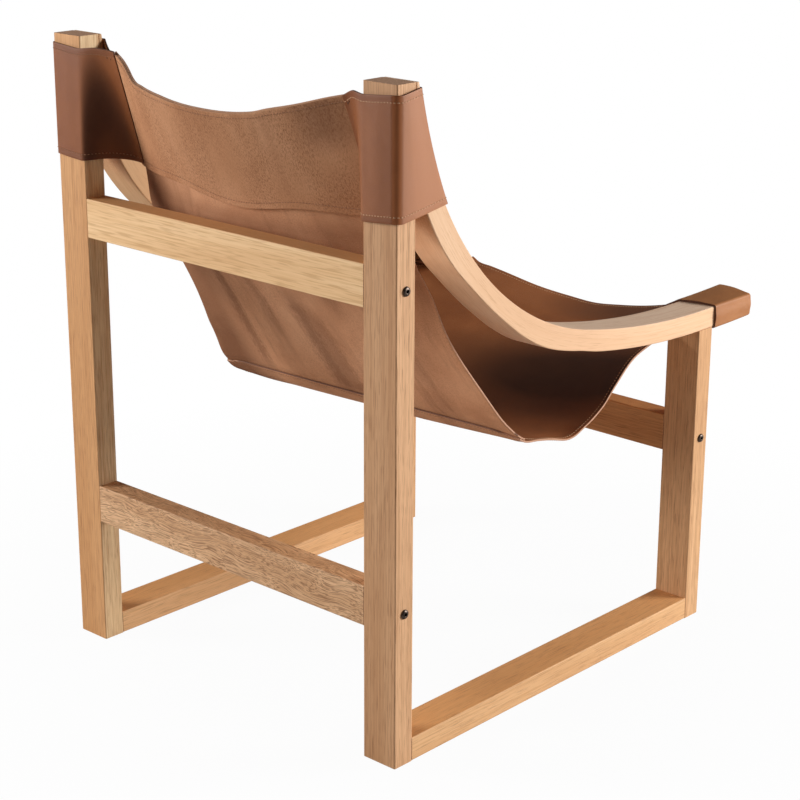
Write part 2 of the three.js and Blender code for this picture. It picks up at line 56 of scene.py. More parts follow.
def clamp(value, low=0, high=1):
    return min(max(value, low), high)


def smoothStep(value, low, high):
    share = clamp((value - low) / (high - low))
    return share * share * (3 - 2 * share)


def tableAt(rows, value):
    # smooth line through a table of pairs, level at both ends
    if value <= rows[0][0]:
        return rows[0][1]
    for k in range(len(rows) - 1):
        (a, low), (b, high) = rows[k], rows[k + 1]
        if value <= b:
            slopes = [0.0, 0.0]
            for end, row in enumerate((k, k + 1)):
                if 0 < row < len(rows) - 1:
                    before, after = rows[row - 1], rows[row + 1]
                    slopes[end] = (after[1] - before[1]) / (after[0] - before[0]) * (b - a)
            t = (value - a) / (b - a)
            return (low * (1 + 2 * t) * (1 - t) ** 2 + slopes[0] * t * (1 - t) ** 2
                    + high * t * t * (3 - 2 * t) + slopes[1] * t * t * (t - 1))
    return rows[-1][1]


def addObject(name, data):
    made = bpy.data.objects.new(name, data)
    bpy.context.collection.objects.link(made)
    return made


def meshData(name, mesh):
    data = bpy.data.meshes.new(name)
    mesh.to_mesh(data)
    mesh.free()
    return data


def finishPiece(name, mesh, materials, node=None):
    piece = addObject(name, meshData(name, mesh))
    for material in materials:
        piece.data.materials.append(material)
    for face in piece.data.polygons:
        face.use_smooth = True
    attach(piece, "root")
    if node:
        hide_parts(node)
    return piece


def leatherPiece(name, mesh, materials, node):
    # leather thickness with softly rubbed cut edges. The materials are face, back and edge.
    piece = finishPiece(name, mesh, materials, node)
    wall = piece.modifiers.new("leather thickness", "SOLIDIFY")
    wall.thickness = leather["thick"] * mm
    wall.offset = 0
    wall.material_offset = 1
    wall.material_offset_rim = 2
    rub = piece.modifiers.new("rubbed edge", "BEVEL")
    rub.width = leather["rub"] * mm
    rub.segments = 2
    rub.limit_method = "ANGLE"
    rub.angle_limit = leather["rubFrom"]
    rub.harden_normals = False
    return piece


def hideMesh(columns, rows, placeAt):
    # a grid whose vertices go where placeAt puts them, with their places on the flat hide
    mesh = bmesh.new()
    cut = mesh.loops.layers.uv.new("cut")
    bmesh.ops.create_grid(mesh, x_segments=columns, y_segments=rows, size=0.5)
    mesh.verts.index_update()
    flat = {}
    for vert in mesh.verts:
        vert.co, flat[vert.index] = placeAt(vert.co.x + 0.5, vert.co.y + 0.5)
    for face in mesh.faces:
        for loop in face.loops:
            loop[cut].uv = flat[loop.vert.index]
    return mesh


def faceOutward(mesh, sign):
    bmesh.ops.recalc_face_normals(mesh, faces=mesh.faces[:])
    outer = max(mesh.faces, key=lambda face: sign * face.calc_center_median().x)
    if outer.normal.x * sign < 0:
        bmesh.ops.reverse_faces(mesh, faces=mesh.faces[:])


def newVerts(made):
    return [item for item in made["geom"] if isinstance(item, bmesh.types.BMVert)]


# Finishes. Their colours are written as the screen shows them, 0 to 255.

def srgb(red, green, blue):
    def linear(value):
        value /= 255
        return value / 12.92 if value <= 0.04045 else ((value + 0.055) / 1.055) ** 2.4
    return (linear(red), linear(green), linear(blue), 1)


class Nodes:
    # the nodes of a material or world. Each value is a number, a colour or another node's socket.
    def __init__(self, owner, outlet):
        owner.use_nodes = True
        self.tree = owner.node_tree
        self.tree.nodes.clear()
        self.outlet = self.add(outlet)

    def put(self, socket, value):
        if isinstance(value, bpy.types.NodeSocket):
            self.tree.links.new(value, socket)
        else:
            socket.default_value = value

    def add(self, kind, inputs=None, **settings):
        node = self.tree.nodes.new("ShaderNode" + kind)
        for name, value in settings.items():
            setattr(node, name, value)
        for place, value in (inputs or {}).items():
            self.put(node.inputs[place], value)
        return node

    def surface(self, socket):
        self.put(self.outlet.inputs["Surface"], socket)

    def reckon(self, way, a, b=0):
        return self.add("Math", {0: a, 1: b}, operation=way).outputs["Value"]

    def times(self, a, b):
        return self.reckon("MULTIPLY", a, b)

    def magnitude(self, value):
        return self.reckon("ABSOLUTE", value)

    def vector(self, way, a, b):
        return self.add("VectorMath", {0: a, 1: b}, operation=way).outputs["Vector"]

    def measure(self, way, a, b=(0, 0, 0)):
        return self.add("VectorMath", {0: a, 1: b}, operation=way).outputs["Value"]

    def split(self, vector):
        return self.add("SeparateXYZ", {0: vector}).outputs

    def remap(self, value, low, high, newLow=0, newHigh=1):
        ends = {"Value": value, "From Min": low, "From Max": high, "To Min": newLow, "To Max": newHigh}
        return self.add("MapRange", ends, clamp=True).outputs["Result"]

    def seenDirectly(self):
        path = self.add("LightPath").outputs
        return self.reckon("MAXIMUM", path["Is Camera Ray"], path["Is Transmission Ray"])


class Finish(Nodes):
    def __init__(self, name):
        self.material = bpy.data.materials.new(name)
        super().__init__(self.material, "OutputMaterial")
        self.shader = self.add("BsdfPrincipled")
        self.surface(self.shader.outputs["BSDF"])
        self.colour = None

    def mapped(self, vector, scale, turn=(0, 0, 0), move=(0, 0, 0)):
        turn = [math.radians(angle) for angle in turn]
        inputs = {"Vector": vector, "Scale": scale, "Rotation": turn, "Location": move}
        return self.add("Mapping", inputs).outputs["Vector"]

    def objectPlace(self, size, turn=(0, 0, 0), move=(0, 0, 0)):
        # turned first and then stretched, so a grain runs along the turned axis
        turned = self.mapped(self.add("TexCoord").outputs["Object"], (1, 1, 1), turn)
        return self.mapped(turned, (size, size, size), move=move)

    def sheetPlace(self, wide=1, long=1, turn=0, move=(0, 0, 0)):
        place = self.add("UVMap", uv_map="cut").outputs["UV"]
        return self.mapped(place, (wide, long, 1), (0, 0, turn), move)

    def noise(self, vector, detail, roughness, distortion=0):
        return self.add("TexNoise", {
            "Vector": vector, "Scale": 1, "Detail": detail, "Roughness": roughness, "Distortion": distortion,
        }).outputs["Fac"]

    def ramp(self, value, stops):
        node = self.add("ValToRGB", {"Fac": value})
        row = node.color_ramp.elements
        while len(row) > 1:
            row.remove(row[-1])
        row[0].position, row[0].color = stops[0][0], srgb(*stops[0][1])
        for position, colour in stops[1:]:
            row.new(position).color = srgb(*colour)
        return node.outputs["Color"]

    def mix(self, share, a, b):
        a, b = (value if isinstance(value, bpy.types.NodeSocket) else srgb(*value) for value in (a, b))
        node = self.add("Mix", data_type="RGBA", blend_type="MIX")
        sockets = [("Factor", "VALUE", share), ("A", "RGBA", a), ("B", "RGBA", b)]
        for name, kind, value in sockets:
            self.put([socket for socket in node.inputs if (socket.name, socket.type) == (name, kind)][0], value)
        return [socket for socket in node.outputs if socket.type == "RGBA"][0]

    def tint(self, share, colour):
        self.colour = self.mix(share, self.colour, colour)

    def tintFrom(self, value, low, high, share, colour):
        self.tint(self.remap(value, low, high, 0, share), colour)

    def bump(self, height, distance, strength, under=None):
        node = self.add("Bump", {"Distance": distance, "Strength": strength, "Height": height})
        if under is not None:
            self.put(node.inputs["Normal"], under)
        self.put(self.shader.inputs["Normal"], node.outputs["Normal"])
        return node.outputs["Normal"]

    def finished(self, roughness, shine=0.5):
        for name, value in (("Base Color", self.colour), ("Roughness", roughness), ("Specular IOR Level", shine)):
            self.put(self.shader.inputs[name], value)
        return self.material


# Timber

alongZ, alongY, alongX = (0, 0, 0), (90, 0, 0), (0, 90, 0)
growth = {
    # how often each mark comes round, across the board twice and along it
    "swirl": (1, 1, 0.45), "swirlSize": 16, "figure": (22, 22, 3.5), "line": (420, 420, 9), "fibre": (1500, 1500, 36),
    "ringGap": 0.0045, "ringWander": 3.0, "ringLong": (1, 0.3, 0.12), "endSpeck": 420,
}


def timberFinish(name, look):
    # oiled timber. The turn brings its grain onto Z and the growth layers onto X.
    wood = Finish(name)
    seed, swirl = look["seed"], look["swirl"]
    dark, middle, pale = look["tones"]
    if look["turn"] == "bent":
        board = wood.add("Attribute", attribute_name="along").outputs["Vector"]
    else:
        board = wood.objectPlace(1, look["turn"])
    # the grain wanders
    even = wood.mapped(board, growth["swirl"])
    drift = wood.add("TexNoise", {"Vector": even, "Scale": growth["swirlSize"], "Detail": 2}).outputs["Color"]
    drift = wood.vector("MULTIPLY", wood.vector("SUBTRACT", drift, (0.5, 0.5, 0.5)), (swirl, swirl, swirl * 0.4))
    grain = wood.vector("ADD", even, drift)
    figure = wood.noise(wood.mapped(grain, growth["figure"], move=(seed, 0, 0)), 4, 0.5, 0.4)
    ringScale = [0.314 / growth["ringGap"] * share for share in growth["ringLong"]]
    layer = wood.add("TexWave", {
        "Vector": wood.mapped(grain, ringScale, move=(seed, seed, 0)), "Scale": 1,
        "Distortion": growth["ringWander"], "Detail": 3, "Detail Scale": 0.8, "Detail Roughness": 0.6,
    }, bands_direction="X").outputs["Fac"]
    line = wood.noise(wood.mapped(grain, growth["line"], move=(0, seed, 0)), 4, 0.6)
    fibre = wood.noise(wood.mapped(board, growth["fibre"]), 2, 0.6)
    poreScale = (look["poreSize"], look["poreSize"], look["poreLength"])
    pore = wood.noise(wood.mapped(grain, poreScale, move=(0, 0, seed)), 1, 0.5)
    wood.colour = wood.ramp(figure, [(0.32, dark), (0.5, middle), (0.68, pale)])
    # painted light and shade: the side and top faces are made lighter or darker by the way they face
    normal = wood.add("NewGeometry").outputs["Normal"]
    facing = wood.split(normal)
    wood.tintFrom(wood.magnitude(facing["X"]), 0.6, 0.9, look["sideLightingShare"], look["sideLightingColour"])
    wood.tintFrom(wood.magnitude(facing["Z"]), 0.7, 0.95, look["topLightingShare"], look["topLightingColour"])
    wood.tint(wood.times(wood.reckon("POWER", layer, 2), look["ringShare"]), look["lineColour"])
    wood.tintFrom(line, 0.45, 0.65, look["lineShare"], look["lineColour"])
    wood.tintFrom(fibre, 0.3, 0.7, 0.16, pale)
    poreMark = wood.remap(pore, look["poreFrom"], look["poreFrom"] + look["poreSoft"])
    wood.tint(wood.times(poreMark, look["poreShare"]), look["poreColour"])
    # end grain on the sawn ends
    sawn = wood.remap(wood.magnitude(wood.measure("DOT_PRODUCT", normal, look["ends"])), 0.8, 0.9)
    speck = wood.noise(wood.objectPlace(growth["endSpeck"]), 3, 0.6)
    endColour = wood.ramp(speck, [(0.35, look["endDark"]), (0.65, look["endPale"])])
    wood.tint(sawn, wood.mix(wood.times(layer, 0.35), endColour, look["endDark"]))
    wood.bump(wood.reckon("SUBTRACT", wood.times(fibre, 0.35), wood.times(poreMark, 0.6)), 0.00018, 0.6)
    return wood.finished(wood.remap(line, 0.3, 0.7, 0.52, 0.64), 0.26)


# the side and top tones in these looks are painted light and shade, set by the way each face turns to the lamps
postLook = {
    "turn": alongZ, "seed": 0.0, "ends": (0, 0, 1), "swirl": 0.004, "ringShare": 0.28,
    "tones": [(196, 145, 103), (207, 157, 114), (218, 170, 127)], "lineColour": (180, 128, 86), "lineShare": 0.5,
    "poreLength": 70, "poreSize": 1100, "poreSoft": 0.08, "poreFrom": 0.57, "poreColour": (150, 102, 66),
    "poreShare": 0.5, "endDark": (186, 142, 112), "endPale": (228, 184, 152),
    "sideLightingShare": 0.0, "sideLightingColour": (242, 192, 146), "topLightingShare": 0.0, "topLightingColour": (196, 138, 84),
}
nearPostLook = {**postLook, "sideLightingShare": 0.65}
farPostLook = {
    **postLook, "seed": 21.6, "sideLightingShare": 1.0, "sideLightingColour": (255, 226, 178),
    "tones": [(202, 145, 94), (214, 158, 105), (224, 170, 117)], "lineColour": (190, 132, 82), "lineShare": 0.45,
    "poreFrom": 0.56, "poreColour": (158, 100, 60), "poreSize": 1400,
}
frontPostLook = {
    **postLook, "seed": 33.0, "tones": [(214, 162, 114), (226, 176, 127), (236, 188, 140)],
}
runnerLook = {
    **postLook, "turn": alongY, "seed": 3.1, "ends": (0, 1, 0), "sideLightingShare": 0.2,
    "tones": [(220, 168, 116), (235, 185, 132), (245, 197, 146)], "lineColour": (208, 154, 100), "poreShare": 0.35,
    "topLightingShare": 0.6, "topLightingColour": (208, 138, 70),
}
upperRailLook = {
    **postLook, "turn": alongX, "seed": 7.7, "ends": (1, 0, 0), "swirl": 0.003, "ringShare": 0.15,
    "tones": [(228, 180, 128), (242, 198, 146), (250, 211, 162)], "lineColour": (214, 164, 108),
    "poreLength": 56, "poreSize": 480, "poreSoft": 0.14, "poreColour": (198, 148, 96), "poreFrom": 0.52,
    "topLightingShare": 0.8, "topLightingColour": (188, 128, 74),
}
lowerRailLook = {
    **postLook, "turn": alongX, "seed": 12.4, "ends": (1, 0, 0), "swirl": 0.045, "ringShare": 0.3,
    "tones": [(216, 168, 124), (234, 188, 144), (244, 202, 158)], "poreLength": 62, "poreSize": 1050,
    "poreSoft": 0.1, "poreColour": (140, 96, 62), "poreShare": 0.7, "poreFrom": 0.5, "topLightingShare": 0.35,
}
frontRailLook = {
    **lowerRailLook, "seed": 18.9, "swirl": 0.008, "tones": [(194, 132, 80), (208, 146, 92), (220, 160, 104)],
    "lineColour": (172, 114, 66), "poreColour": (136, 86, 48), "poreShare": 0.5, "poreFrom": 0.58, "poreLength": 60,
}
armLook = {
    **postLook, "turn": "bent", "seed": 5.2, "ends": (0, -1, 0), "swirl": 0.003, "ringShare": 0.16,
    "tones": [(234, 187, 146), (243, 198, 157), (249, 208, 169)], "topLightingShare": 1.0, "topLightingColour": (255, 222, 194),
    "lineColour": (226, 176, 132), "lineShare": 0.4, "poreLength": 60, "poreColour": (206, 154, 112),
    "poreShare": 0.4, "poreFrom": 0.6, "endDark": (190, 142, 102), "endPale": (212, 166, 126),
}
# painted shade: the far arm is a darker copy of the arm timber, its side faces darker still
farArmLook = {
    **armLook, "seed": 7.7, "topLightingColour": (228, 188, 148), "sideLightingShare": 0.6, "sideLightingColour": (200, 150, 104),
    "tones": [(208, 165, 120), (219, 176, 130), (227, 186, 141)], "lineColour": (200, 154, 110),
    "poreColour": (182, 134, 92),
}
beechLook = {
    **postLook, "turn": alongX, "seed": 9.4, "ends": (1, 0, 0),
    "tones": [(208, 172, 128), (220, 186, 142), (230, 198, 156)],
}
armTimber = {
    "right": timberFinish("pale arm timber", armLook),
    "left": timberFinish("far arm timber", farArmLook),
}
beech = timberFinish("beech dowel timber", beechLook)


# Leather, thread and metal

def grainFinish(name, look):
    # dyed leather, hair side out
    hide = Finish(name)
    dark, middle, pale = look["tones"]
    cloud = hide.noise(hide.objectPlace(9, move=(look["seed"], 0, 0)), 4, 0.6, 0.3)
    hide.colour = hide.ramp(cloud, [(0.28, dark), (0.5, middle), (0.74, pale)])
    hide.tintFrom(hide.noise(hide.objectPlace(700), 3, 0.6), 0.35, 0.7, 0.28, dark)
    cell = hide.add("TexVoronoi", {"Vector": hide.objectPlace(1250), "Scale": 1}, feature="DISTANCE_TO_EDGE")
    crease = hide.remap(cell.outputs["Distance"], 0, 0.22)
    hide.tint(hide.remap(crease, 0, 0.5, 0.25, 0), dark)
    if "side" in look:
        sleeveTones(hide, look, cloud)
    for centre, size, most in look.get("seatShadePatches", []):
        # painted shade: dark patches in the seat's hollow, toward the near arm
        shift = (-centre[0] / size[0], -centre[1] / size[1], 0)
        reach = hide.measure("LENGTH", hide.sheetPlace(1 / size[0], 1 / size[1], move=shift))
        share = hide.times(hide.remap(reach, 0.5, 1.35, most, 0), hide.remap(cloud, 0.25, 0.6, 0.85, 1))
        hide.tint(share, look["patchColour"])
    first = hide.bump(crease, 0.00012, 0.5)
    hide.bump(hide.noise(hide.objectPlace(90), 4, 0.6), 0.0006, 0.25, first)
    return hide.finished(hide.remap(cloud, 0.3, 0.7, look["rough"] - 0.05, look["rough"] + 0.06), 0.24)


def sleeveTones(hide, look, cloud):
    place = hide.split(hide.sheetPlace())
    facing = hide.split(hide.add("NewGeometry").outputs["Normal"])
    # the strips outside the stitch rows are darker
    middle = sleeveHigh / 2
    stripFrom = middle - look["band"]
    fromMiddle = hide.magnitude(hide.reckon("SUBTRACT", place["Y"], middle))
    soft = look["bandSoft"]
    hide.tintFrom(fromMiddle, stripFrom - soft, stripFrom + soft, look["bandShare"], look["bandColour"])
    # painted light: the outer face is lighter
    hide.tintFrom(hide.times(facing["X"], look["sideWay"]), 0.75, 0.98, look["sideLightingShare"], look["side"])
    # painted light and shade: the bend behind the post, found by the way it faces, is lighter on the near sleeve and
    # darker on the far one
    backward = hide.times(hide.reckon("SUBTRACT", facing["Y"], facing["X"]), math.sqrt(0.5))
    bend = hide.remap(backward, 0.84, 0.98, 0, look["bendLightingShare"])
    hide.tint(hide.times(bend, hide.remap(cloud, 0.3, 0.6, 0.6, 1)), look["bend"])
    # painted shade also on the way round the back, and on the flap toward the seam
    rising = hide.remap(place["X"], *look["foldShadeFrom"], 0, look["foldShadeShare"])
    hide.tint(hide.times(rising, hide.remap(place["X"], *look["foldShadeTo"], 1, 0)), look["foldShade"])
    hide.tintFrom(place["X"], *look["flapShadeFrom"], look["flapShadeShare"], look["foldShade"])


def fleshFinish(name, look):
    # the napped flesh side of the hide
    hide = Finish(name)
    seed, napSize = look["seed"], look["napSize"]
    dark, middle, pale = look["tones"]
    cloud = hide.noise(hide.sheetPlace(7, 7, move=(seed, 0, 0)), 5, 0.6, 0.5)
    hide.colour = hide.ramp(cloud, [(0.3, dark), (0.5, middle), (0.7, pale)])
    # drag lines from the currier's knife, broad and fine
    for width, low, high, part in ((13, 0.54, 0.68, 1.0), (34, 0.6, 0.74, 0.8), (110, 0.55, 0.75, 0.22)):
        drag = hide.noise(hide.sheetPlace(width, width * 0.16, look["dragTurn"], (0, seed, 0)), 4, 0.6, 0.5)
        hide.tintFrom(drag, low, high, look["dragShare"] * part, look["drag"])
    # painted shade: darker toward the edge on the sitter's left, where the sheet curves away, in the drag colour
    place = hide.split(hide.sheetPlace())
    edge = hide.remap(place["X"], look["edgeShadeFrom"], look["edgeShadeFrom"] + 0.06, 0, look["edgeShadeShare"])
    hide.tint(hide.times(edge, hide.remap(cloud, 0.35, 0.6, 0.6, 1)), look["drag"])
    # rough scuffs along the hide, and painted shade in a broad band: place across, half width, from, to and share
    rough = hide.noise(hide.sheetPlace(260, 90, move=(0, 0, seed)), 5, 0.8)
    ragged = hide.reckon("ADD", place["X"], hide.remap(rough, 0.3, 0.7, -0.01, 0.01))
    for across, half, low, high, share in look["scuffsAndShade"]:
        off = hide.magnitude(hide.reckon("SUBTRACT", ragged, across))
        fromMiddle = hide.magnitude(hide.reckon("ADD", place["Y"], (low + high) / 2))
        along = hide.remap(fromMiddle, (high - low) * 0.35, (high - low) * 0.55, 1, 0)
        hide.tint(hide.times(hide.remap(off, half * 0.2, half * 1.2, share, 0), along), look["scuffAndShadeColour"])
    # nap: two sizes of speckle, thicker in some patches
    patch = hide.remap(hide.noise(hide.sheetPlace(16, 16, move=(0, seed, 0)), 3, 0.5), 0.36, 0.6, 0.35, 1)
    nap = hide.noise(hide.sheetPlace(napSize, napSize * 0.8), 4, 0.75, 0.6)
    hide.tint(hide.times(hide.remap(nap, 0.47, 0.62, 0, look["napShare"]), patch), look["nap"])
    shine = hide.noise(hide.sheetPlace(napSize * 1.3, napSize, 20, (3, 5, 0)), 3, 0.7)
    hide.tintFrom(shine, 0.55, 0.72, 0.35, pale)
    first = hide.bump(nap, look["napHeight"], 0.7)
    hide.bump(hide.noise(hide.sheetPlace(60, 60), 4, 0.6), 0.0008, 0.3, first)
    return hide.finished(0.9, 0.12)


def edgeFinish(name, pale, dark, seamShadeColour=None):
    # bare fibre of a cut edge, with painted shade where it lies in the low seam
    edge = Finish(name)
    fibre = edge.noise(edge.objectPlace(600), 3, 0.6)
    edge.colour = edge.ramp(fibre, [(0.3, dark), (0.7, pale)])
    if seamShadeColour:
        fromSeam = edge.magnitude(edge.reckon("ADD", edge.split(edge.sheetPlace())["Y"], hideLong * seamAt))
        edge.tint(edge.remap(fromSeam, 0.003, 0.006, 0.85, 0), seamShadeColour)
    edge.bump(fibre, 0.0002, 0.5)
    return edge.finished(0.8)


def threadFinish(name, pale, dark):
    thread = Finish(name)
    twist = thread.noise(thread.objectPlace(900), 2, 0.5)
    thread.colour = thread.ramp(twist, [(0.35, dark), (0.65, pale)])
    thread.bump(twist, 0.0001, 0.5)
    return thread.finished(0.7)


def metalFinish(name, colour, patchColour, roughness):
    metal = Finish(name)
    patch = metal.noise(metal.objectPlace(240), 4, 0.6)
    metal.colour = metal.ramp(patch, [(0.35, colour), (0.7, patchColour)])
    metal.put(metal.shader.inputs["Metallic"], 1)
    metal.bump(metal.noise(metal.objectPlace(2500), 2, 0.5), 0.00003, 0.4)
    return metal.finished(metal.remap(patch, 0.3, 0.7, roughness - 0.06, roughness + 0.12))


sleeveLook = {
    "seed": 1.4, "rough": 0.48, "sideWay": -1, "tones": [(130, 74, 38), (152, 91, 51), (171, 107, 65)],
    "side": (200, 137, 98), "sideLightingShare": 0.75, "bend": (238, 146, 92), "bendLightingShare": 0.95,
    "foldShade": (118, 62, 24), "foldShadeShare": 0.5, "flapShadeShare": 0.6,
    "foldShadeFrom": (0.152, 0.168), "foldShadeTo": (0.186, 0.222), "flapShadeFrom": (0.232, 0.262),
    "band": 0.0066, "bandSoft": 0.0015, "bandShare": 0.6, "bandColour": (124, 72, 42),
}
# painted shade: the far sleeve is a darker copy of the sleeve leather, with a very dark bend
farSleeveLook = {
    **sleeveLook, "seed": 5.8, "sideWay": 1, "bend": (60, 26, 6), "bendLightingShare": 0.8, "foldShadeShare": 0.0,
    "flapShadeShare": 0.0, "tones": [(122, 64, 27), (142, 80, 37), (160, 94, 47)],
}
sleeveGrain = {
    "right": grainFinish("cognac leather grain", sleeveLook),
    "left": grainFinish("far sleeve leather grain", farSleeveLook),
}
pocketGrain = grainFinish("pocket leather grain", {
    "seed": 8.4, "rough": 0.46, "tones": [(160, 100, 58), (182, 122, 75), (196, 138, 90)],
})
slingGrain = grainFinish("sling leather grain", {
    # the dark patches here are painted shade in the seat's hollow
    "seed": 4.9, "rough": 0.5, "tones": [(144, 85, 49), (163, 99, 58), (180, 113, 69)], "patchColour": (56, 32, 20),
    "seatShadePatches": [((-0.15, -0.79), (0.2, 0.135), 0.9), ((-0.22, -1.13), (0.2, 0.09), 0.6)],
})
slingFlesh = fleshFinish("sling leather flesh", {
    "seed": 2.2, "tones": [(184, 130, 94), (207, 152, 114), (219, 166, 128)],
    "drag": (124, 80, 54), "dragTurn": 34, "dragShare": 0.42, "edgeShadeFrom": 0.14, "edgeShadeShare": 0.9,
    "nap": (136, 90, 62), "napShare": 0.4, "napSize": 560, "napHeight": 0.0003, "scuffAndShadeColour": (112, 70, 48),
    "scuffsAndShade": [(0.014, 0.022, 0.28, 0.47, 0.6), (-0.012, 0.014, 0.30, 0.47, 0.4), (0.152, 0.012, 0.2, 0.46, 0.5),
               (0.085, 0.012, 0.22, 0.36, 0.3), (-0.07, 0.016, 0.12, 0.3, 0.25), (-0.15, 0.014, 0.3, 0.45, 0.25),
               # the last, broad band is painted shade below the lining
               (0.0, 0.4, 0.09, 0.22, 0.35)],
})
liningFlesh = fleshFinish("lining leather flesh", {
    "seed": 6.3, "tones": [(176, 122, 86), (194, 140, 102), (210, 156, 118)],
    "drag": (150, 98, 66), "dragTurn": 20, "dragShare": 0.3, "edgeShadeFrom": 0.3, "edgeShadeShare": 0.0,
    "nap": (104, 62, 40), "napShare": 0.66, "napSize": 640, "napHeight": 0.0005, "scuffAndShadeColour": (112, 70, 48),
    "scuffsAndShade": [(-0.2, 0.045, -0.04, 0.03, 0.5)],
})
cutEdge = edgeFinish("bare leather edge", (214, 168, 138), (178, 128, 98), (96, 58, 38))
wornEdge = edgeFinish("worn leather edge", (208, 156, 120), (176, 124, 90))
darkEdge = edgeFinish("rolled leather edge", (112, 70, 46), (82, 48, 30))
paleThread = threadFinish("pale waxed thread", (232, 190, 150), (200, 152, 112))
brownThread = threadFinish("brown waxed thread", (172, 122, 88), (140, 96, 66))
darkThread = threadFinish("dark waxed thread", (54, 32, 20), (34, 20, 12))
boltMetal = metalFinish("browned bolt steel", (70, 60, 54), (112, 98, 88), 0.34)
print("finishes made")


# CAD nodes that keep their shape and get a finish

nodeFinishes = [
    ("back_post_right", timberFinish("near post timber", nearPostLook)),
    ("back_post_left", timberFinish("far post timber", farPostLook)),
    ("front_post", timberFinish("front post timber", frontPostLook)),
    ("bottom_rail", timberFinish("runner timber", runnerLook)),
    ("upper_back_rail", timberFinish("straw rail timber", upperRailLook)),
    ("lower_back_rail", timberFinish("speckled rail timber", lowerRailLook)),
    ("front_rail", timberFinish("front rail timber", frontRailLook)),
    ("insert", metalFinish("turned insert brass", (176, 146, 84), (200, 172, 108), 0.32)),
    ("dowel", beech), ("tenon", beech),
]
for name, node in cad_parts.items():
    for start, material in nodeFinishes:
        if name.startswith(start):
            for place in node.material_slots:
                place.material = material
print("timber frame dressed")


# Arms: sawn from a board, with the same edges as the frame's arms

arm = {
    "top": {"height": 437.0, "run": 111.0, "radius": 1185.0, "sweep": math.radians(12.0), "end": (-35.0, 800.0)},
    "under": {"height": 410.0, "run": 115.0, "radius": 1230.0, "sweep": math.radians(12.1), "end": (-30.0, 700.5)},
    "frontEnd": -700.0, "backFace": -30.0, "innerFace": 237.5, "wide": 50.0,
    "ease": 1.6, "easeSteps": 3, "easeFrom": math.radians(40), "bendSteps": 72, "edgeRows": 400, "middleRows": 160,
    "hollow": [(0.42, 0), (0.47, 1.5), (0.56, 0), (0.62, 2.5), (0.68, 6), (0.77, 6.3), (0.83, 2.6), (0.88, 0.5),
               (0.95, 0)],
}


def armEdgePoint(edge, share):
    # level run, gentle sweep and then one arc that meets the back post
    run, radius, sweep, height, end = (edge[key] for key in ("run", "radius", "sweep", "height", "end"))

    def swept(angle):
        return Vector((arm["frontEnd"] + run + radius * math.sin(angle), height + radius * (1 - math.cos(angle))))
    inward = Vector((-math.sin(sweep), math.cos(sweep)))
    reach = Vector(end) - swept(sweep)
    bendRadius = reach.length_squared / (2 * inward.dot(reach))
    centre = swept(sweep) + inward * bendRadius
    bend = math.atan2(end[0] - centre.x, centre.y - end[1]) - sweep
    lengths = (run, radius * sweep, bendRadius * bend)
    distance = share * sum(lengths)
    if distance <= lengths[0]:
        return Vector((arm["frontEnd"] + distance, height))
    if distance <= lengths[0] + lengths[1]:
        return swept((distance - lengths[0]) / radius)
    angle = sweep + (distance - lengths[0] - lengths[1]) / bendRadius
    return Vector((centre.x + bendRadius * math.sin(angle), centre.y - bendRadius * math.cos(angle)))


def armTopPoint(share):
    return armEdgePoint(arm["top"], share)


def armUnderPoint(share):
    # hollowed along the bend
    nudge = 0.001
    before, after = (armEdgePoint(arm["under"], clamp(share + way)) for way in (-nudge, nudge))
    ahead = (after - before).normalized()
    return armEdgePoint(arm["under"], share) + Vector((-ahead.y, ahead.x)) * tableAt(arm["hollow"], share)


def span(low, high, steps):
    return [blendTo(low, high, step / steps) for step in range(steps + 1)]


topEdgeTable = [armTopPoint(share) for share in span(0, 1, arm["edgeRows"])]
middleTable = [(armTopPoint(share) + armUnderPoint(share)) / 2 for share in span(0, 1, arm["middleRows"])]


def markGrain(piece):
    # across, above and along the arm's middle line, for its grain
    layer = piece.data.attributes.new("along", "FLOAT_VECTOR", "POINT")
    lengths = [0.0]
    for a, b in zip(middleTable, middleTable[1:]):
        lengths.append(lengths[-1] + (b - a).length)
    for vert, value in zip(piece.data.vertices, layer.data):
        flat = Vector((vert.co.y / mm - backShift, vert.co.z / mm))
        k = min(range(len(middleTable) - 1), key=lambda row: (middleTable[row] - flat).length_squared)
        ahead = (middleTable[k + 1] - middleTable[k]).normalized()
        away = flat - middleTable[k]
        above, along = ahead.x * away.y - ahead.y * away.x, lengths[k] + ahead.dot(away)
        value.vector = (vert.co.x, above * mm, along * mm)


def armFrontAt(height):
    # depth of the arm's top edge at a height on its bend
    for low, high in zip(topEdgeTable[::-1][1:], topEdgeTable[::-1]):
        if low.y <= height <= high.y and high.y > low.y:
            return blendTo(low.x, high.x, (height - low.y) / (high.y - low.y))
    return arm["top"]["end"][0]


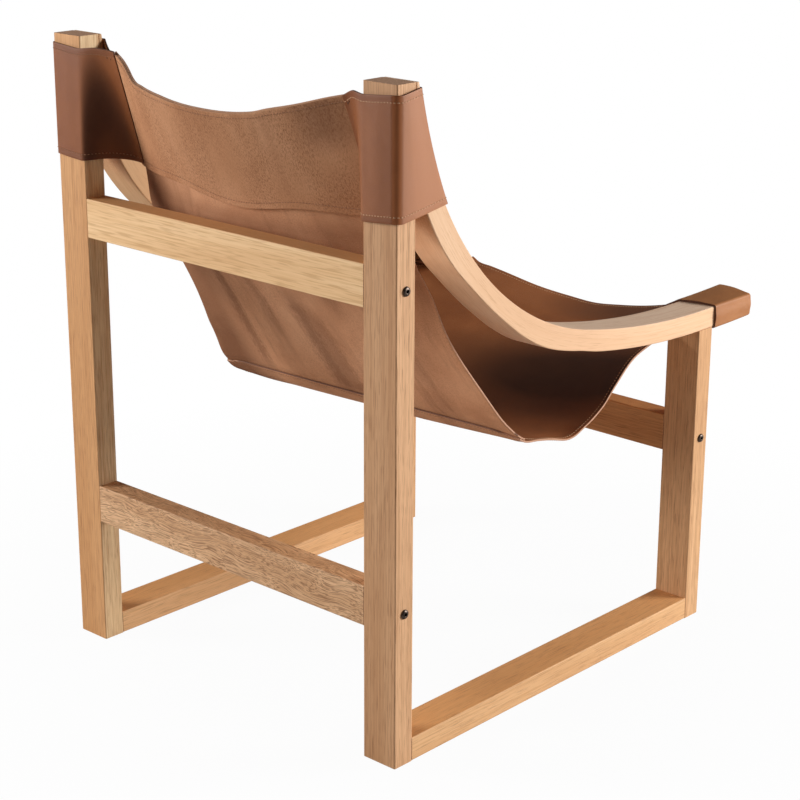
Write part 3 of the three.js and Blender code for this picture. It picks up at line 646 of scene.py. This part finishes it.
for side, sign in sides:
    mesh = bmesh.new()
    bmesh.ops.create_grid(mesh, x_segments=arm["bendSteps"], y_segments=1, size=0.5)
    for vert in mesh.verts:
        share = clamp(vert.co.x + 0.5)
        point = armTopPoint(share) if vert.co.y > 0 else armUnderPoint(share)
        vert.co = spot(arm["innerFace"] * sign, point.x, point.y)
    # the flat tip against the post is one more vertex behind the top edge
    tip = max(mesh.verts, key=lambda vert: vert.co.z)
    footHeight = arm["under"]["end"][1] * mm
    ends = [edge.other_vert(tip) for edge in tip.link_edges if edge.is_boundary]
    foot = [vert for vert in ends if abs(vert.co.z - footHeight) < mm][0]
    corner = bmesh.utils.edge_split(mesh.edges.get((tip, foot)), tip, 0.5)[1]
    corner.co = spot(arm["innerFace"] * sign, arm["backFace"], arm["top"]["end"][1])
    moved = newVerts(bmesh.ops.extrude_face_region(mesh, geom=mesh.faces[:]))
    bmesh.ops.translate(mesh, vec=Vector((sign * arm["wide"] * mm, 0, 0)), verts=moved)
    bmesh.ops.recalc_face_normals(mesh, faces=mesh.faces[:])
    sharp = [edge for edge in mesh.edges if edge.calc_face_angle(0) > arm["easeFrom"]]
    bmesh.ops.bevel(mesh, geom=sharp, offset=arm["ease"] * mm, affect="EDGES", segments=arm["easeSteps"],
                    profile=0.5, material=-1, clamp_overlap=True)
    piece = finishPiece(f"arm_{side}_sawn", mesh, [armTimber[side]], f"arm_{side}")
    markGrain(piece)
    keep = piece.modifiers.new("flat faces", "WEIGHTED_NORMAL")
    keep.keep_sharp = True
print("arms sawn")


# Bolts: dome heads with a hex socket

bolt = {
    "face": 287.5, "radius": 3.0, "reach": 22.0, "ease": 0.4, "headRadius": 5.7, "headHeight": 2.9, "headEase": 0.15,
    "rimHeight": 0.8, "across": 4.0, "rim": 0.5, "depth": 2.2, "lip": 0.25, "steps": 48, "domeSteps": 7,
    "sharpFrom": math.radians(35),
    "places": {"upper_back_rail": (-15.0, 574.5), "lower_back_rail": (-15.0, 193.0), "front_rail": (-600.0, 258.5)},
}


def makeBolt(name, sign, depth, height):
    reach, radius, headRadius, ease = bolt["reach"], bolt["radius"], bolt["headRadius"], bolt["ease"]
    profile = [(-reach, 0.001), (-reach, radius - ease), (-reach + ease, radius), (0, radius),
               (0, headRadius - bolt["headEase"]), (bolt["headEase"], headRadius), (bolt["rimHeight"], headRadius)]
    for step in range(1, bolt["domeSteps"] + 1):
        angle = math.pi / 2 * step / bolt["domeSteps"]
        profile.append((blendTo(bolt["rimHeight"], bolt["headHeight"], math.sin(angle)),
                        blendTo(bolt["across"] / 2 + bolt["rim"], headRadius, math.cos(angle))))
    mesh = bmesh.new()
    line = [mesh.verts.new((x * mm, 0, r * mm)) for x, r in profile]
    edges = [mesh.edges.new(pair) for pair in zip(line, line[1:])]
    bmesh.ops.spin(mesh, geom=line + edges, cent=(0, 0, 0), axis=(1, 0, 0), angle=math.tau,
                   steps=bolt["steps"], use_merge=True)
    top = max(vert.co.x for vert in mesh.verts)
    mouth = [edge for edge in mesh.edges if edge.is_boundary and edge.verts[0].co.x > top - 1e-6]
    turned = Matrix.Translation((top - bolt["lip"] * mm, 0, 0)) @ Matrix.Rotation(math.pi / 2, 4, "Y")
    made = bmesh.ops.create_circle(mesh, cap_ends=False, segments=6, radius=bolt["across"] / math.sqrt(3) * mm,
                                   matrix=turned)
    hexEdges = list({edge for vert in made["verts"] for edge in vert.link_edges})
    bmesh.ops.bridge_loops(mesh, edges=mouth + hexEdges)
    low = newVerts(bmesh.ops.extrude_edge_only(mesh, edges=hexEdges))
    bmesh.ops.translate(mesh, vec=Vector((-(bolt["depth"] - bolt["lip"]) * mm, 0, 0)), verts=low)
    bmesh.ops.holes_fill(mesh, edges=[edge for edge in mesh.edges if edge.is_boundary], sides=0)
    bmesh.ops.remove_doubles(mesh, verts=mesh.verts[:], dist=2e-6)
    if sign < 0:
        bmesh.ops.rotate(mesh, cent=(0, 0, 0), matrix=Matrix.Rotation(math.pi, 3, "Z"), verts=mesh.verts[:])
    bmesh.ops.translate(mesh, vec=spot(sign * bolt["face"], depth, height), verts=mesh.verts[:])
    bmesh.ops.recalc_face_normals(mesh, faces=mesh.faces[:])
    piece = finishPiece(f"{name}_turned", mesh, [boltMetal], name)
    piece.data.set_sharp_from_angle(angle=bolt["sharpFrom"])


for rail, (depth, height) in bolt["places"].items():
    for side, sign in sides:
        makeBolt(f"bolt_{rail}_{side}", sign, depth, height)
print("bolts turned")


# The sling: two curves, its side edge and its middle, and the leather between them

sling = {
    "sag": 2.3, "skew": 18.0, "skewDrop": 4.0, "skewFrom": (1 / 3, 0.5, 0.8),
    "lap": 0.020, "lapFade": (0.9, 2.6), "lapCorner": 0.010, "across": 120,
    "backRows": 96, "seatRows": 140, "liningRows": 34,
    "topFade": (0, 0.06), "lowRise": (0.4, 0.44), "lowFade": (0.5, 0.55), "frontRise": (0.85, 1),
    "lapCornerFrom": 0.85, "leftPower": 6, "rightPower": 4, "wavePower": 10,
    "side": [(185.0, -12.4, 782.0), (202.0, -67.3, 640.0), (225.5, -97.3, 577.5), (229.4, -119.9, 540.6),
             (229.4, -157.5, 472.5), (244.2, -211.6, 390.9), (250.0, -250.7, 340.6), (250.0, -297.3, 315.9),
             (250.0, -368.0, 311.0), (248.2, -419.2, 329.8), (247.1, -451.2, 352.1), (246.0, -496.0, 382.0),
             (246.0, -540.8, 396.0), (240.0, -592.0, 404.0), (200.0, -618.0, 404.5), (191.5, -688.0, 410.0)],
    "middle": [(0, 16.0, 743.0), (0, -40.0, 622.5), (0, -63.0, 578.2), (0, -89.2, 543.4), (0, -145.0, 473.7),
               (0, -205.6, 391.5), (0, -245.0, 342.4), (0, -292.6, 310.7), (0, -368.0, 306.0), (0, -419.2, 312.0),
               (0, -454.4, 327.1), (0, -499.2, 346.0), (0, -544.0, 358.9), (0, -598.4, 370.9), (0, -624.0, 376.2),
               (0, -688.0, 381.5)],
    # how the hide has stretched: pairs of across (or along) and millimetres
    "topLift": [(-1, 0), (-0.94, 1.2), (-0.87, 2.2), (-0.7, 2.2), (-0.53, 2.2), (-0.4, 0), (0.4, 0),
                (0.5, -1), (0.6, -2.4), (0.65, -3), (0.7, -4.2), (0.755, -2.0), (0.81, 3.4), (0.87, 6.2),
                (0.93, 6), (0.96, 5), (1, 4)],
    "lowLift": [(-1, 0), (-0.93, -3), (-0.3, -3), (0, -1.2), (0.6, -1.2), (0.8, -3), (1, -3)],
    "frontLift": [(-1, 0), (-0.45, 0), (-0.2, -1.6), (0.05, 0.8), (0.3, 2.4), (0.6, 3.8), (0.8, 1.2), (0.93, -3.2),
                  (1, -1)],
    "leftReach": [(0.19, 0), (0.24, -4), (0.28, -4.5), (0.305, -2), (0.33, 3), (0.36, 5), (0.4, 8), (0.415, 5.5),
                  (0.45, 0), (0.82, 0), (0.867, 4), (0.9, 18), (0.933, 34), (0.965, 16), (1, 0)],
    "rightReach": [(0, 27), (0.033, 22), (0.067, 18), (0.1, 12), (0.15, 0)],
    "rightWave": [(0.38, 0), (0.42, -3), (0.46, 0), (0.48, 0), (0.505, -5), (0.52, -5), (0.54, -1), (0.57, 0)],
}


def curvePoint(points, share):
    # smooth line through the points, with the knots spaced by the root of their distance
    place = share * (len(points) - 1)
    k = min(int(place), len(points) - 2)
    weight = place - k
    p1, p2 = Vector(points[k]), Vector(points[k + 1])
    p0 = Vector(points[k - 1]) if k > 0 else p1 * 2 - p2
    p3 = Vector(points[k + 2]) if k + 2 < len(points) else p2 * 2 - p1
    d0, d1, d2 = (math.sqrt((b - a).length) or 1 for a, b in ((p0, p1), (p1, p2), (p2, p3)))
    t1 = ((p1 - p0) / d0 - (p2 - p0) / (d0 + d1) + (p2 - p1) / d1) * d1
    t2 = ((p2 - p1) / d1 - (p3 - p1) / (d1 + d2) + (p3 - p2) / d2) * d1
    return p1 + t1 * weight + (p2 * 3 - p1 * 3 - t1 * 2 - t2) * weight ** 2 + (p1 * 2 - p2 * 2 + t1 + t2) * weight ** 3


curveTable = {}


def edgeAndMiddle(along):
    key = round(along, 6)
    if key not in curveTable:
        curveTable[key] = (curvePoint(sling["side"], along), curvePoint(sling["middle"], along))
    return curveTable[key]


def slingPoint(across, along):
    # middle of the leather; across runs from -1 to 1, along from 0 at the top edge to 1 at the front
    side, middle = edgeAndMiddle(along)
    outward = abs(across) ** sling["sag"]
    skewStart, skewFull, skewEnd = sling["skewFrom"]
    skewShare = across * smoothStep(along, skewStart, skewFull) * (1 - smoothStep(along, skewFull, skewEnd))
    low = smoothStep(along, *sling["lowRise"]) * (1 - smoothStep(along, *sling["lowFade"]))
    lift = tableAt(sling["topLift"], across) * (1 - smoothStep(along, *sling["topFade"]))
    lift += tableAt(sling["lowLift"], across) * low
    lift += tableAt(sling["frontLift"], across) * smoothStep(along, *sling["frontRise"])
    if across < 0:
        lift += tableAt(sling["rightWave"], along) * across ** sling["wavePower"]
        reach = -tableAt(sling["rightReach"], along) * across ** sling["rightPower"]
    else:
        reach = tableAt(sling["leftReach"], along) * across ** sling["leftPower"]
    return Vector((
        side.x * across + reach,
        blendTo(middle.y, side.y, outward) + sling["skew"] * skewShare,
        blendTo(middle.z, side.z, outward) - sling["skewDrop"] * skewShare + lift,
    ))


def slingNormal(across, along):
    # out of the underside
    nudge = 0.0005
    left, fore = min(across + nudge, 1), min(along + nudge, 1)
    width = slingPoint(left, along) - slingPoint(left - nudge, along)
    length = slingPoint(across, fore) - slingPoint(across, fore - nudge)
    return width.cross(length).normalized()


def slingSheet(name, start, end, rows, offset, materials, node):
    # a grid laid on the sling; start, end and offset may change across and along it
    def placeAt(wide, long):
        across = wide * 2 - 1
        along = blendTo(start(across), end(across), long)
        point = slingPoint(across, along) + slingNormal(across, along) * offset(across, along)
        return spot(*point), (across * hideWide, -along * hideLong)
    mesh = hideMesh(sling["across"], rows, placeAt)
    # face side is the sitter's side
    middle = mesh.faces[:][len(mesh.faces) // 2]
    middle.normal_update()
    if middle.normal.dot(slingNormal(0, 0.5)) > 0:
        bmesh.ops.reverse_faces(mesh, faces=mesh.faces[:])
    return leatherPiece(name, mesh, materials, node)


liningEdge = {"end": 1 / 15, "arch": 0.0057, "lip": 1.1, "lipFrom": 0.004}


def liningEnd(across):
    return liningEdge["end"] - liningEdge["arch"] * math.sin(math.pi * across) ** 2


def liningOffset(across, along):
    # its lower lip stands off the back panel a little
    end = liningEnd(across)
    return leather["layer"] + liningEdge["lip"] * smoothStep(along, end - liningEdge["lipFrom"], end)


def lapOffset(across, along):
    # the seat panel laps over the outside of the back panel
    start, end = (seamAt + sling["lap"] * share for share in sling["lapFade"])
    return leather["layer"] * (1 - smoothStep(along, start, end))


def seatStart(across):
    # the lap's corners are cut back a little
    return seamAt + sling["lapCorner"] * smoothStep(abs(across), sling["lapCornerFrom"], 1)


backPanel = slingSheet("sling_back_leather", lambda across: 0.0, lambda across: seamAt + sling["lap"],
                       sling["backRows"], lambda across, along: 0.0, [slingGrain, slingFlesh, cutEdge],
                       "sling_back_panel")
seatPanel = slingSheet("sling_seat_leather", seatStart, lambda across: 1.0, sling["seatRows"], lapOffset,
                       [slingGrain, slingFlesh, cutEdge], "sling_seat_panel")
lining = slingSheet("sling_lining_leather", lambda across: 0.0, liningEnd, sling["liningRows"], liningOffset,
                    [slingGrain, liningFlesh, wornEdge], "sling_back_lining")
print("sling hung")


# Sleeves round the back posts and the arms

sleeve = {
    "gap": 0.8, "topHeight": 789.0, "lowHeight": 651.0, "tilt": math.tan(math.radians(7.0)),
    "ease": 3.2, "backEase": 7.5, "backStand": 0.9, "drop": 3.4,
    "cornerSteps": 10, "flatSteps": 10, "rows": 48, "insideDrop": 7.4, "seamRise": {1: 4.5, -1: 1.5},
    "seamAcross": 0.962, "seamLow": 1 / 15, "straighten": 0.35,
    "leave": 241.5, "leaveReach": 18.0, "seamReach": 0.34, "flapSteps": 22, "flapHold": 2.4, "puff": 0.9,
}
sleeveStand = sleeve["gap"] + leather["thick"] / 2


def sleeveFrontAt(height):
    # the leather bridges some of the hollow of the arm's bend
    low, high = sleeve["lowHeight"], sleeve["topHeight"]
    chord = blendTo(armFrontAt(low), armFrontAt(high), (height - low) / (high - low))
    return blendTo(armFrontAt(height), min(chord, armFrontAt(height)), sleeve["straighten"])


def sleeveCorners(share):
    backHeight = blendTo(sleeve["lowHeight"], sleeve["topHeight"], share)
    frontHeight = backHeight - sleeve["tilt"] * sleeveFrontAt(backHeight)
    front = sleeveFrontAt(frontHeight)
    inner, outer = arm["innerFace"], arm["innerFace"] + arm["wide"]
    return [
        (Vector((inner, front, frontHeight)), sleeve["ease"]), (Vector((outer, front, frontHeight)), sleeve["ease"]),
        (Vector((outer + sleeve["backStand"], sleeve["backStand"], backHeight)), sleeve["backEase"]),
        (Vector((sleeve["leave"], 0.0, backHeight - sleeve["drop"])), 0.0),
    ]


def loopPoints(corners, distance, cornerSteps, flatSteps, puff):
    # the way round a loop of leather: an arc at each corner, and flats that swell a little
    arcs = []
    for k, (corner, ease) in enumerate(corners):
        if k in (0, len(corners) - 1):
            other = corners[1][0] if k == 0 else corners[-2][0]
            way = (other - corner if k == 0 else corner - other).to_2d().normalized()
            arcs.append([corner + Vector((way.y, -way.x, 0)) * distance])
            continue
        first = (corner - corners[k - 1][0]).to_2d().normalized()
        second = (corners[k + 1][0] - corner).to_2d().normalized()
        turn = math.atan2(first.cross(second), first.dot(second))
        inset = ease * math.tan(abs(turn) / 2)
        centre = corner.to_2d() - first * inset + Vector((-first.y, first.x)) * ease
        points = []
        for step in range(cornerSteps + 1):
            angle = math.atan2(-first.x, first.y) + turn * step / cornerSteps
            flat = centre + Vector((math.cos(angle), math.sin(angle))) * (ease + distance)
            points.append(Vector((flat.x, flat.y, corner.z)))
        arcs.append(points)
    ring = arcs[0][:]
    for before, after in zip(arcs, arcs[1:]):
        a, b = before[-1], after[0]
        out = Vector(((b - a).y, -(b - a).x, 0)).normalized()
        for step in range(1, flatSteps):
            share = step / flatSteps
            ring.append(a.lerp(b, share) + out * puff * math.sin(math.pi * share) ** 2)
        ring.extend(after)
    return ring


def sleeveRing(share, sign):
    # from the seam inside the sling, round the arm and the post, to the seam outside the lining
    puff = sleeve["puff"] * (0.4 + 0.6 * math.sin(math.pi * share))
    along = (1 - share) * sleeve["seamLow"]
    across = sleeve["seamAcross"]
    place, out = slingPoint(sign * across, along), slingNormal(sign * across, along)
    beside = (slingPoint(sign * (across + 0.01), along) - place).normalized()
    for vector in (place, out, beside):
        vector.x *= sign
    inside = place - out * leather["layer"] - Vector((0, 0, sleeve["insideDrop"] * share))
    outside = place + out * leather["layer"] * 2 + Vector((0, 0, sleeve["seamRise"][sign]))
    corners = sleeveCorners(share)
    way = (corners[0][0] - inside).to_2d().normalized()
    first = inside - Vector((way.y, -way.x, 0)) * sleeveStand
    ring = loopPoints([(first, 0.0)] + corners, sleeveStand, sleeve["cornerSteps"], sleeve["flatSteps"], puff)
    for step in range(1, sleeve["flatSteps"]):
        hold = (step / sleeve["flatSteps"]) ** (1 + 3 * share)
        ring[step].z = blendTo(inside.z, corners[0][0].z, hold)
    # the flap leaves the post level and lies down along the seam
    leave = ring[-1].copy()
    toPost = (leave - outside).normalized()
    low = outside + (beside + toPost).normalized() * (leave - outside).length * sleeve["seamReach"]
    high = leave - Vector((sleeve["leaveReach"], 0, 0))
    for step in range(1, sleeve["flapSteps"] + 1):
        s = step / sleeve["flapSteps"]
        point = leave * (1 - s) ** 3 + high * 3 * s * (1 - s) ** 2 + low * 3 * s ** 2 * (1 - s) + outside * s ** 3
        point.z = blendTo(leave.z + sleeve["drop"] * smoothStep(s, 0, 0.6), outside.z, s ** sleeve["flapHold"])
        ring.append(point)
    return ring


def makeSleeve(side, sign):
    rows = sleeve["rows"]
    rings = [sleeveRing(row / rows, sign) for row in range(rows + 1)]
    columns = len(rings[0]) - 1

    def placeAt(wide, long):
        column, row = round(wide * columns), round(long * rows)
        point = rings[row][column]
        flat = (column / columns * sleeveWide, row / rows * sleeveHigh)
        return spot(sign * point.x, point.y, point.z), flat
    mesh = hideMesh(columns, rows, placeAt)
    faceOutward(mesh, sign)
    return leatherPiece(f"sling_sleeve_{side}_leather", mesh, [sleeveGrain[side], slingFlesh, darkEdge],
                        f"sling_sleeve_{side}")


sleeves = {side: makeSleeve(side, sign) for side, sign in sides}
print("sleeves sewn")


# Pockets over the front ends of the arms

pocket = {
    "gap": 0.3, "open": -617.0, "frontRound": 4.0, "roundRows": 5, "rows": 26, "cornerSteps": 8, "flatSteps": 8,
    "puff": 1.2, "faceRows": 5, "faceInset": 9.0, "seamBack": 20.0, "slopeTo": 236.0, "openBack": 10.0,
    "peak": {1: -3.0, -1: 6.0}, "peakRise": {1: 0.0, -1: 3.2}, "peakFrom": 215.0, "peakTo": 245.0, "footRise": 1.6,
    "closeFrom": 215.0, "closeTo": 275.0, "closeMiddle": (250.0, 423.5), "closeTilt": 0.02, "closeInset": 13.2,
    "flatWide": 0.25, "corners": [(194.5, 410.0, 0.0), (287.5, 410.0, 1.5), (287.5, 437.0, 1.5), (237.5, 437.0, 1.5),
                                  (194.5, 410.0, 0.0)],
}


def makePocket(side, sign):
    stand = pocket["gap"] + leather["thick"] / 2
    corners = [(Vector((x, z, 0)), ease) for x, z, ease in pocket["corners"]]
    base = loopPoints(corners, stand, pocket["cornerSteps"], pocket["flatSteps"], pocket["puff"])
    frontFace, frontRound = arm["frontEnd"] - stand, pocket["frontRound"]
    # depth and inset of each ring: along the arm, round the front edge and over the front face
    rings = [(depth, 0.0) for depth in span(pocket["open"], frontFace + frontRound, pocket["rows"])]
    for row in range(1, pocket["roundRows"] + 1):
        angle = math.pi / 2 * row / pocket["roundRows"]
        rings.append((frontFace + frontRound * (1 - math.sin(angle)), frontRound * (1 - math.cos(angle))))
    for row in range(1, pocket["faceRows"] + 1):
        rings.append((frontFace, frontRound + pocket["faceInset"] * row / pocket["faceRows"]))
    columns, rows = len(base) - 1, len(rings) - 1
    under, high = arm["under"]["height"], arm["top"]["height"] - arm["under"]["height"]

    def placeAt(wide, long):
        column, row = round(wide * columns), round(long * rows)
        (depth, inset), point = rings[row], base[column]
        seamShare = clamp((pocket["slopeTo"] - point.x) / (pocket["slopeTo"] - pocket["corners"][0][0]))
        forward = (pocket["open"] - depth) / (pocket["open"] - frontFace)
        depth += pocket["seamBack"] * seamShare * max(forward, 0)
        closeX, closeZ = pocket["closeMiddle"]
        middle = Vector((clamp(point.x, pocket["closeFrom"], pocket["closeTo"]),
                         closeZ + (point.x - closeX) * pocket["closeTilt"]))
        place = middle.copy()
        if row < rows:
            place = point.to_2d() + (middle - point.to_2d()) * min(inset / pocket["closeInset"], 1)
        # its inner front corner is pushed out, and its lower front edge drawn in
        fore = max(forward, 0) ** 2
        innerShare = 1 - clamp((point.x - arm["innerFace"]) / arm["wide"])
        upShare = clamp((point.y - under) / high)
        outShare = clamp((point.x - pocket["peakFrom"]) / (pocket["peakTo"] - pocket["peakFrom"]))
        depth -= pocket["peak"][sign] * innerShare * upShare * fore
        depth += pocket["openBack"] * innerShare * (1 - clamp(forward))
        rise = pocket["peakRise"][sign] * innerShare * upShare + pocket["footRise"] * (1 - upShare)
        place.y += rise * outShare * fore
        return spot(sign * place.x, depth, place.y), (column / columns * pocket["flatWide"], depth * mm)
    mesh = hideMesh(columns, rows, placeAt)
    bmesh.ops.remove_doubles(mesh, verts=mesh.verts[:], dist=1e-5)
    faceOutward(mesh, sign)
    return leatherPiece(f"sling_pocket_{side}_leather", mesh, [pocketGrain, slingFlesh, darkEdge],
                        f"sling_pocket_{side}")


pockets = {side: makePocket(side, sign) for side, sign in sides}
print("pockets sewn")


# Stitch rows: one small capsule of thread for each stitch

stitch = {
    "size": (2.8, 1.2, 1.2), "gap": 1.6, "around": 6, "rings": 4, "chunk": 40, "sleeveIn": 7.6, "sleeveOut": 0.1,
    "edgeIn": 5.0, "edgeHalf": 245.0, "stand": 0.05, "topIn": 0.0029, "lipIn": 0.0050, "lapIn": 0.0040,
    "insideIn": 0.009, "frontAt": 0.992, "steps": 90, "seatFromTo": (0.425, 0.93), "seatSteps": 160,
    "punch": [(0.925, -4), (0.93, -6)], "punchHalf": 1.0, "punchSize": {1: (2.8, 1.2, 0.8), -1: (3.6, 1.8, 0.8)},
}


def stitchRow(name, lines, thread, size=stitch["size"]):
    # each line is a list of places with the way out of the leather there, in millimetres
    places = []
    squash = Matrix.Diagonal([value * mm / 2 for value in size] + [1])
    for line in lines:
        lengths = [(b[0] - a[0]).length for a, b in zip(line, line[1:])]
        count = max(int(sum(lengths) / (size[0] + stitch["gap"])), 1)
        step = sum(lengths) / count
        passed, k = 0.0, 0
        for number in range(count):
            reach = (number + 0.5) * step
            while k < len(lengths) - 1 and passed + lengths[k] < reach:
                passed += lengths[k]
                k += 1
            share = (reach - passed) / max(lengths[k], 1e-6)
            place, out = (a.lerp(b, share) for a, b in zip(line[k], line[k + 1]))
            ahead = (line[k + 1][0] - line[k][0]).normalized()
            beside = out.normalized().cross(ahead).normalized()
            out = ahead.cross(beside).normalized()
            axes = Matrix((ahead, beside, out)).transposed().to_4x4()
            places.append(Matrix.Translation(spot(*place)) @ axes @ squash @ Matrix.Rotation(math.pi / 2, 4, "Y"))
    # a few at a time, because each operator walks the whole mesh
    mesh = bmesh.new()
    for start in range(0, len(places), stitch["chunk"]):
        part = bmesh.new()
        for matrix in places[start:start + stitch["chunk"]]:
            bmesh.ops.create_uvsphere(part, u_segments=stitch["around"], v_segments=stitch["rings"], radius=1,
                                      matrix=matrix)
        carrier = meshData("stitches", part)
        mesh.from_mesh(carrier)
        bpy.data.meshes.remove(carrier)
    return finishPiece(name, mesh, [thread])


def sleeveLine(share, sign):
    # round a sleeve, on its outer face
    ring = sleeveRing(share, sign)
    line = []
    for k, point in enumerate(ring):
        ahead = (ring[min(k + 1, len(ring) - 1)] - ring[max(k - 1, 0)]).normalized()
        away = Vector((ahead.y, -ahead.x, 0)).normalized()
        place = point + away * (leather["thick"] / 2 + stitch["sleeveOut"])
        line.append((Vector((sign * place.x, place.y, place.z)), Vector((sign * away.x, away.y, 0))))
    return line


def slingLine(path, offset):
    # along a path of (across, along) pairs, off the middle of the leather
    line = []
    for across, along in path:
        out = slingNormal(across, along)
        line.append((slingPoint(across, along) + out * offset, out * (1 if offset > 0 else -1)))
    return line


def acrossRow(reach, alongAt):
    return [(across, alongAt(across)) for across in span(-reach, reach, stitch["steps"])]


share = stitch["sleeveIn"] / (sleeve["topHeight"] - sleeve["lowHeight"])
half = Vector((0, 0, stitch["punchHalf"]))
for side, sign in sides:
    lines = [sleeveLine(level, sign) for level in (share, 1 - share)]
    stitchRow(f"sleeve_stitches_{side}", lines, {1: brownThread, -1: paleThread}[sign])
    marks = []
    for level, column in stitch["punch"]:
        place, out = sleeveLine(level, sign)[column]
        marks.append([(place - half, out), (place + half, out)])
    stitchRow(f"sleeve_punch_marks_{side}", marks, darkThread, stitch["punchSize"][sign])

face = leather["thick"] / 2 + stitch["stand"]
lapped = leather["layer"] + face
lipRow = acrossRow(0.95, lambda across: liningEnd(across) - stitch["lipIn"])
topRow = acrossRow(0.955, lambda across: stitch["topIn"])
lapRow = acrossRow(0.985, lambda across: seamAt + stitch["lapIn"])
lapInside = acrossRow(0.985, lambda across: seamAt + stitch["lapIn"] + stitch["insideIn"])
frontRow = acrossRow(0.96, lambda across: stitch["frontAt"])
edgeRow = {sign: [(sign * (1 - stitch["edgeIn"] / stitch["edgeHalf"]), along)
                  for along in span(*stitch["seatFromTo"], stitch["seatSteps"])] for side, sign in sides}
for name, thread, lines in (
    ("lining_stitches", brownThread, [(lipRow, lapped), (topRow, lapped)]),
    ("top_edge_stitches", paleThread, [(topRow, -face)]),
    ("low_seam_stitches_outside", brownThread, [(lapRow, lapped)]),
    ("low_seam_stitches_inside", brownThread, [(lapInside, -face)]),
    ("seat_edge_stitches_left", paleThread, [(edgeRow[1], -face), (edgeRow[1], face)]),
    ("seat_edge_stitches_right", paleThread, [(edgeRow[-1], -face), (edgeRow[-1], face)]),
    ("front_edge_stitches", paleThread, [(frontRow, -face), (frontRow, face)]),
):
    stitchRow(name, [slingLine(path, offset) for path, offset in lines], thread)
print("stitch rows sewn")


# Floor, light and camera

stage = {
    "floorHalf": 14.0, "floorColour": (0.6, 0.6, 0.6, 1), "worldLight": 0.1,
    "whiteNear": 0.96, "whiteFrom": 0.35, "whiteTo": 1.0, "white": (1, 1, 1, 1),
}
lamps = [
    {"name": "right softbox", "place": (-2.75, -2.4, 1.3), "aim": (0, 0, 0.4), "size": 1.5, "power": 158.0},
    {"name": "left softbox", "place": (2.7, 2.5, 1.5), "aim": (0, 0, 0.4), "size": 1.5, "power": 128.0},
]
view = {"place": (-1704.62, 1537.17, 1138.44), "turn": 222.558, "rise": 18.118, "roll": 0.2756, "lens": 90.195}


def makeFloor():
    mesh = bmesh.new()
    bmesh.ops.create_grid(mesh, x_segments=2, y_segments=2, size=stage["floorHalf"])
    floor = addObject("floor", meshData("floor", mesh))
    material = bpy.data.materials.new("pale floor")
    floor.data.materials.append(material)
    paint = Nodes(material, "OutputMaterial")
    matt = paint.add("BsdfDiffuse", {"Color": stage["floorColour"]})
    white = paint.add("Emission", {"Color": stage["white"], "Strength": 1.0})
    # whiter away from the chair, so that only its shadow shows
    reach = paint.measure("LENGTH", paint.add("TexCoord").outputs["Object"])
    share = paint.remap(reach, stage["whiteFrom"], stage["whiteTo"], stage["whiteNear"], 1)
    share = paint.times(paint.seenDirectly(), share)
    mix = paint.add("MixShader", {"Fac": share, 1: matt.outputs["BSDF"], 2: white.outputs["Emission"]})
    paint.surface(mix.outputs["Shader"])


def makeWorld():
    world = bpy.data.worlds.new("studio")
    bpy.context.scene.world = world
    sky = Nodes(world, "OutputWorld")
    strength = sky.reckon("ADD", sky.times(sky.seenDirectly(), 1 - stage["worldLight"]), stage["worldLight"])
    light = sky.add("Background", {"Color": stage["white"], "Strength": strength})
    sky.surface(light.outputs["Background"])


def makeLamp(lamp):
    data = bpy.data.lights.new(lamp["name"], "AREA")
    data.shape = "SQUARE"
    data.size = lamp["size"]
    data.energy = lamp["power"]
    light = addObject(lamp["name"], data)
    light.location = lamp["place"]
    aim = Vector(lamp["aim"]) - Vector(lamp["place"])
    light.rotation_mode = "QUATERNION"
    light.rotation_quaternion = aim.to_track_quat("-Z", "Y")


def makeCamera():
    turn, rise, roll = (math.radians(view[key]) for key in ("turn", "rise", "roll"))
    back = Vector((math.sin(turn) * math.cos(rise), -math.cos(turn) * math.cos(rise), math.sin(rise)))
    level = (-back).cross(Vector((0, 0, 1))).normalized()
    upright = level.cross(-back)
    right = level * math.cos(roll) + upright * math.sin(roll)
    up = upright * math.cos(roll) - level * math.sin(roll)
    data = bpy.data.cameras.new("photo camera")
    data.lens = view["lens"]
    data.sensor_width = 36.0
    data.clip_start, data.clip_end = 0.05, 100
    camera = addObject("photo camera", data)
    camera.matrix_world = Matrix.Translation(spot(*view["place"])) @ Matrix((right, up, back)).transposed().to_4x4()
    bpy.context.scene.camera = camera


makeFloor()
makeWorld()
for lamp in lamps:
    makeLamp(lamp)
makeCamera()
bpy.context.scene.view_settings.view_transform = "Standard"
print("stage set")
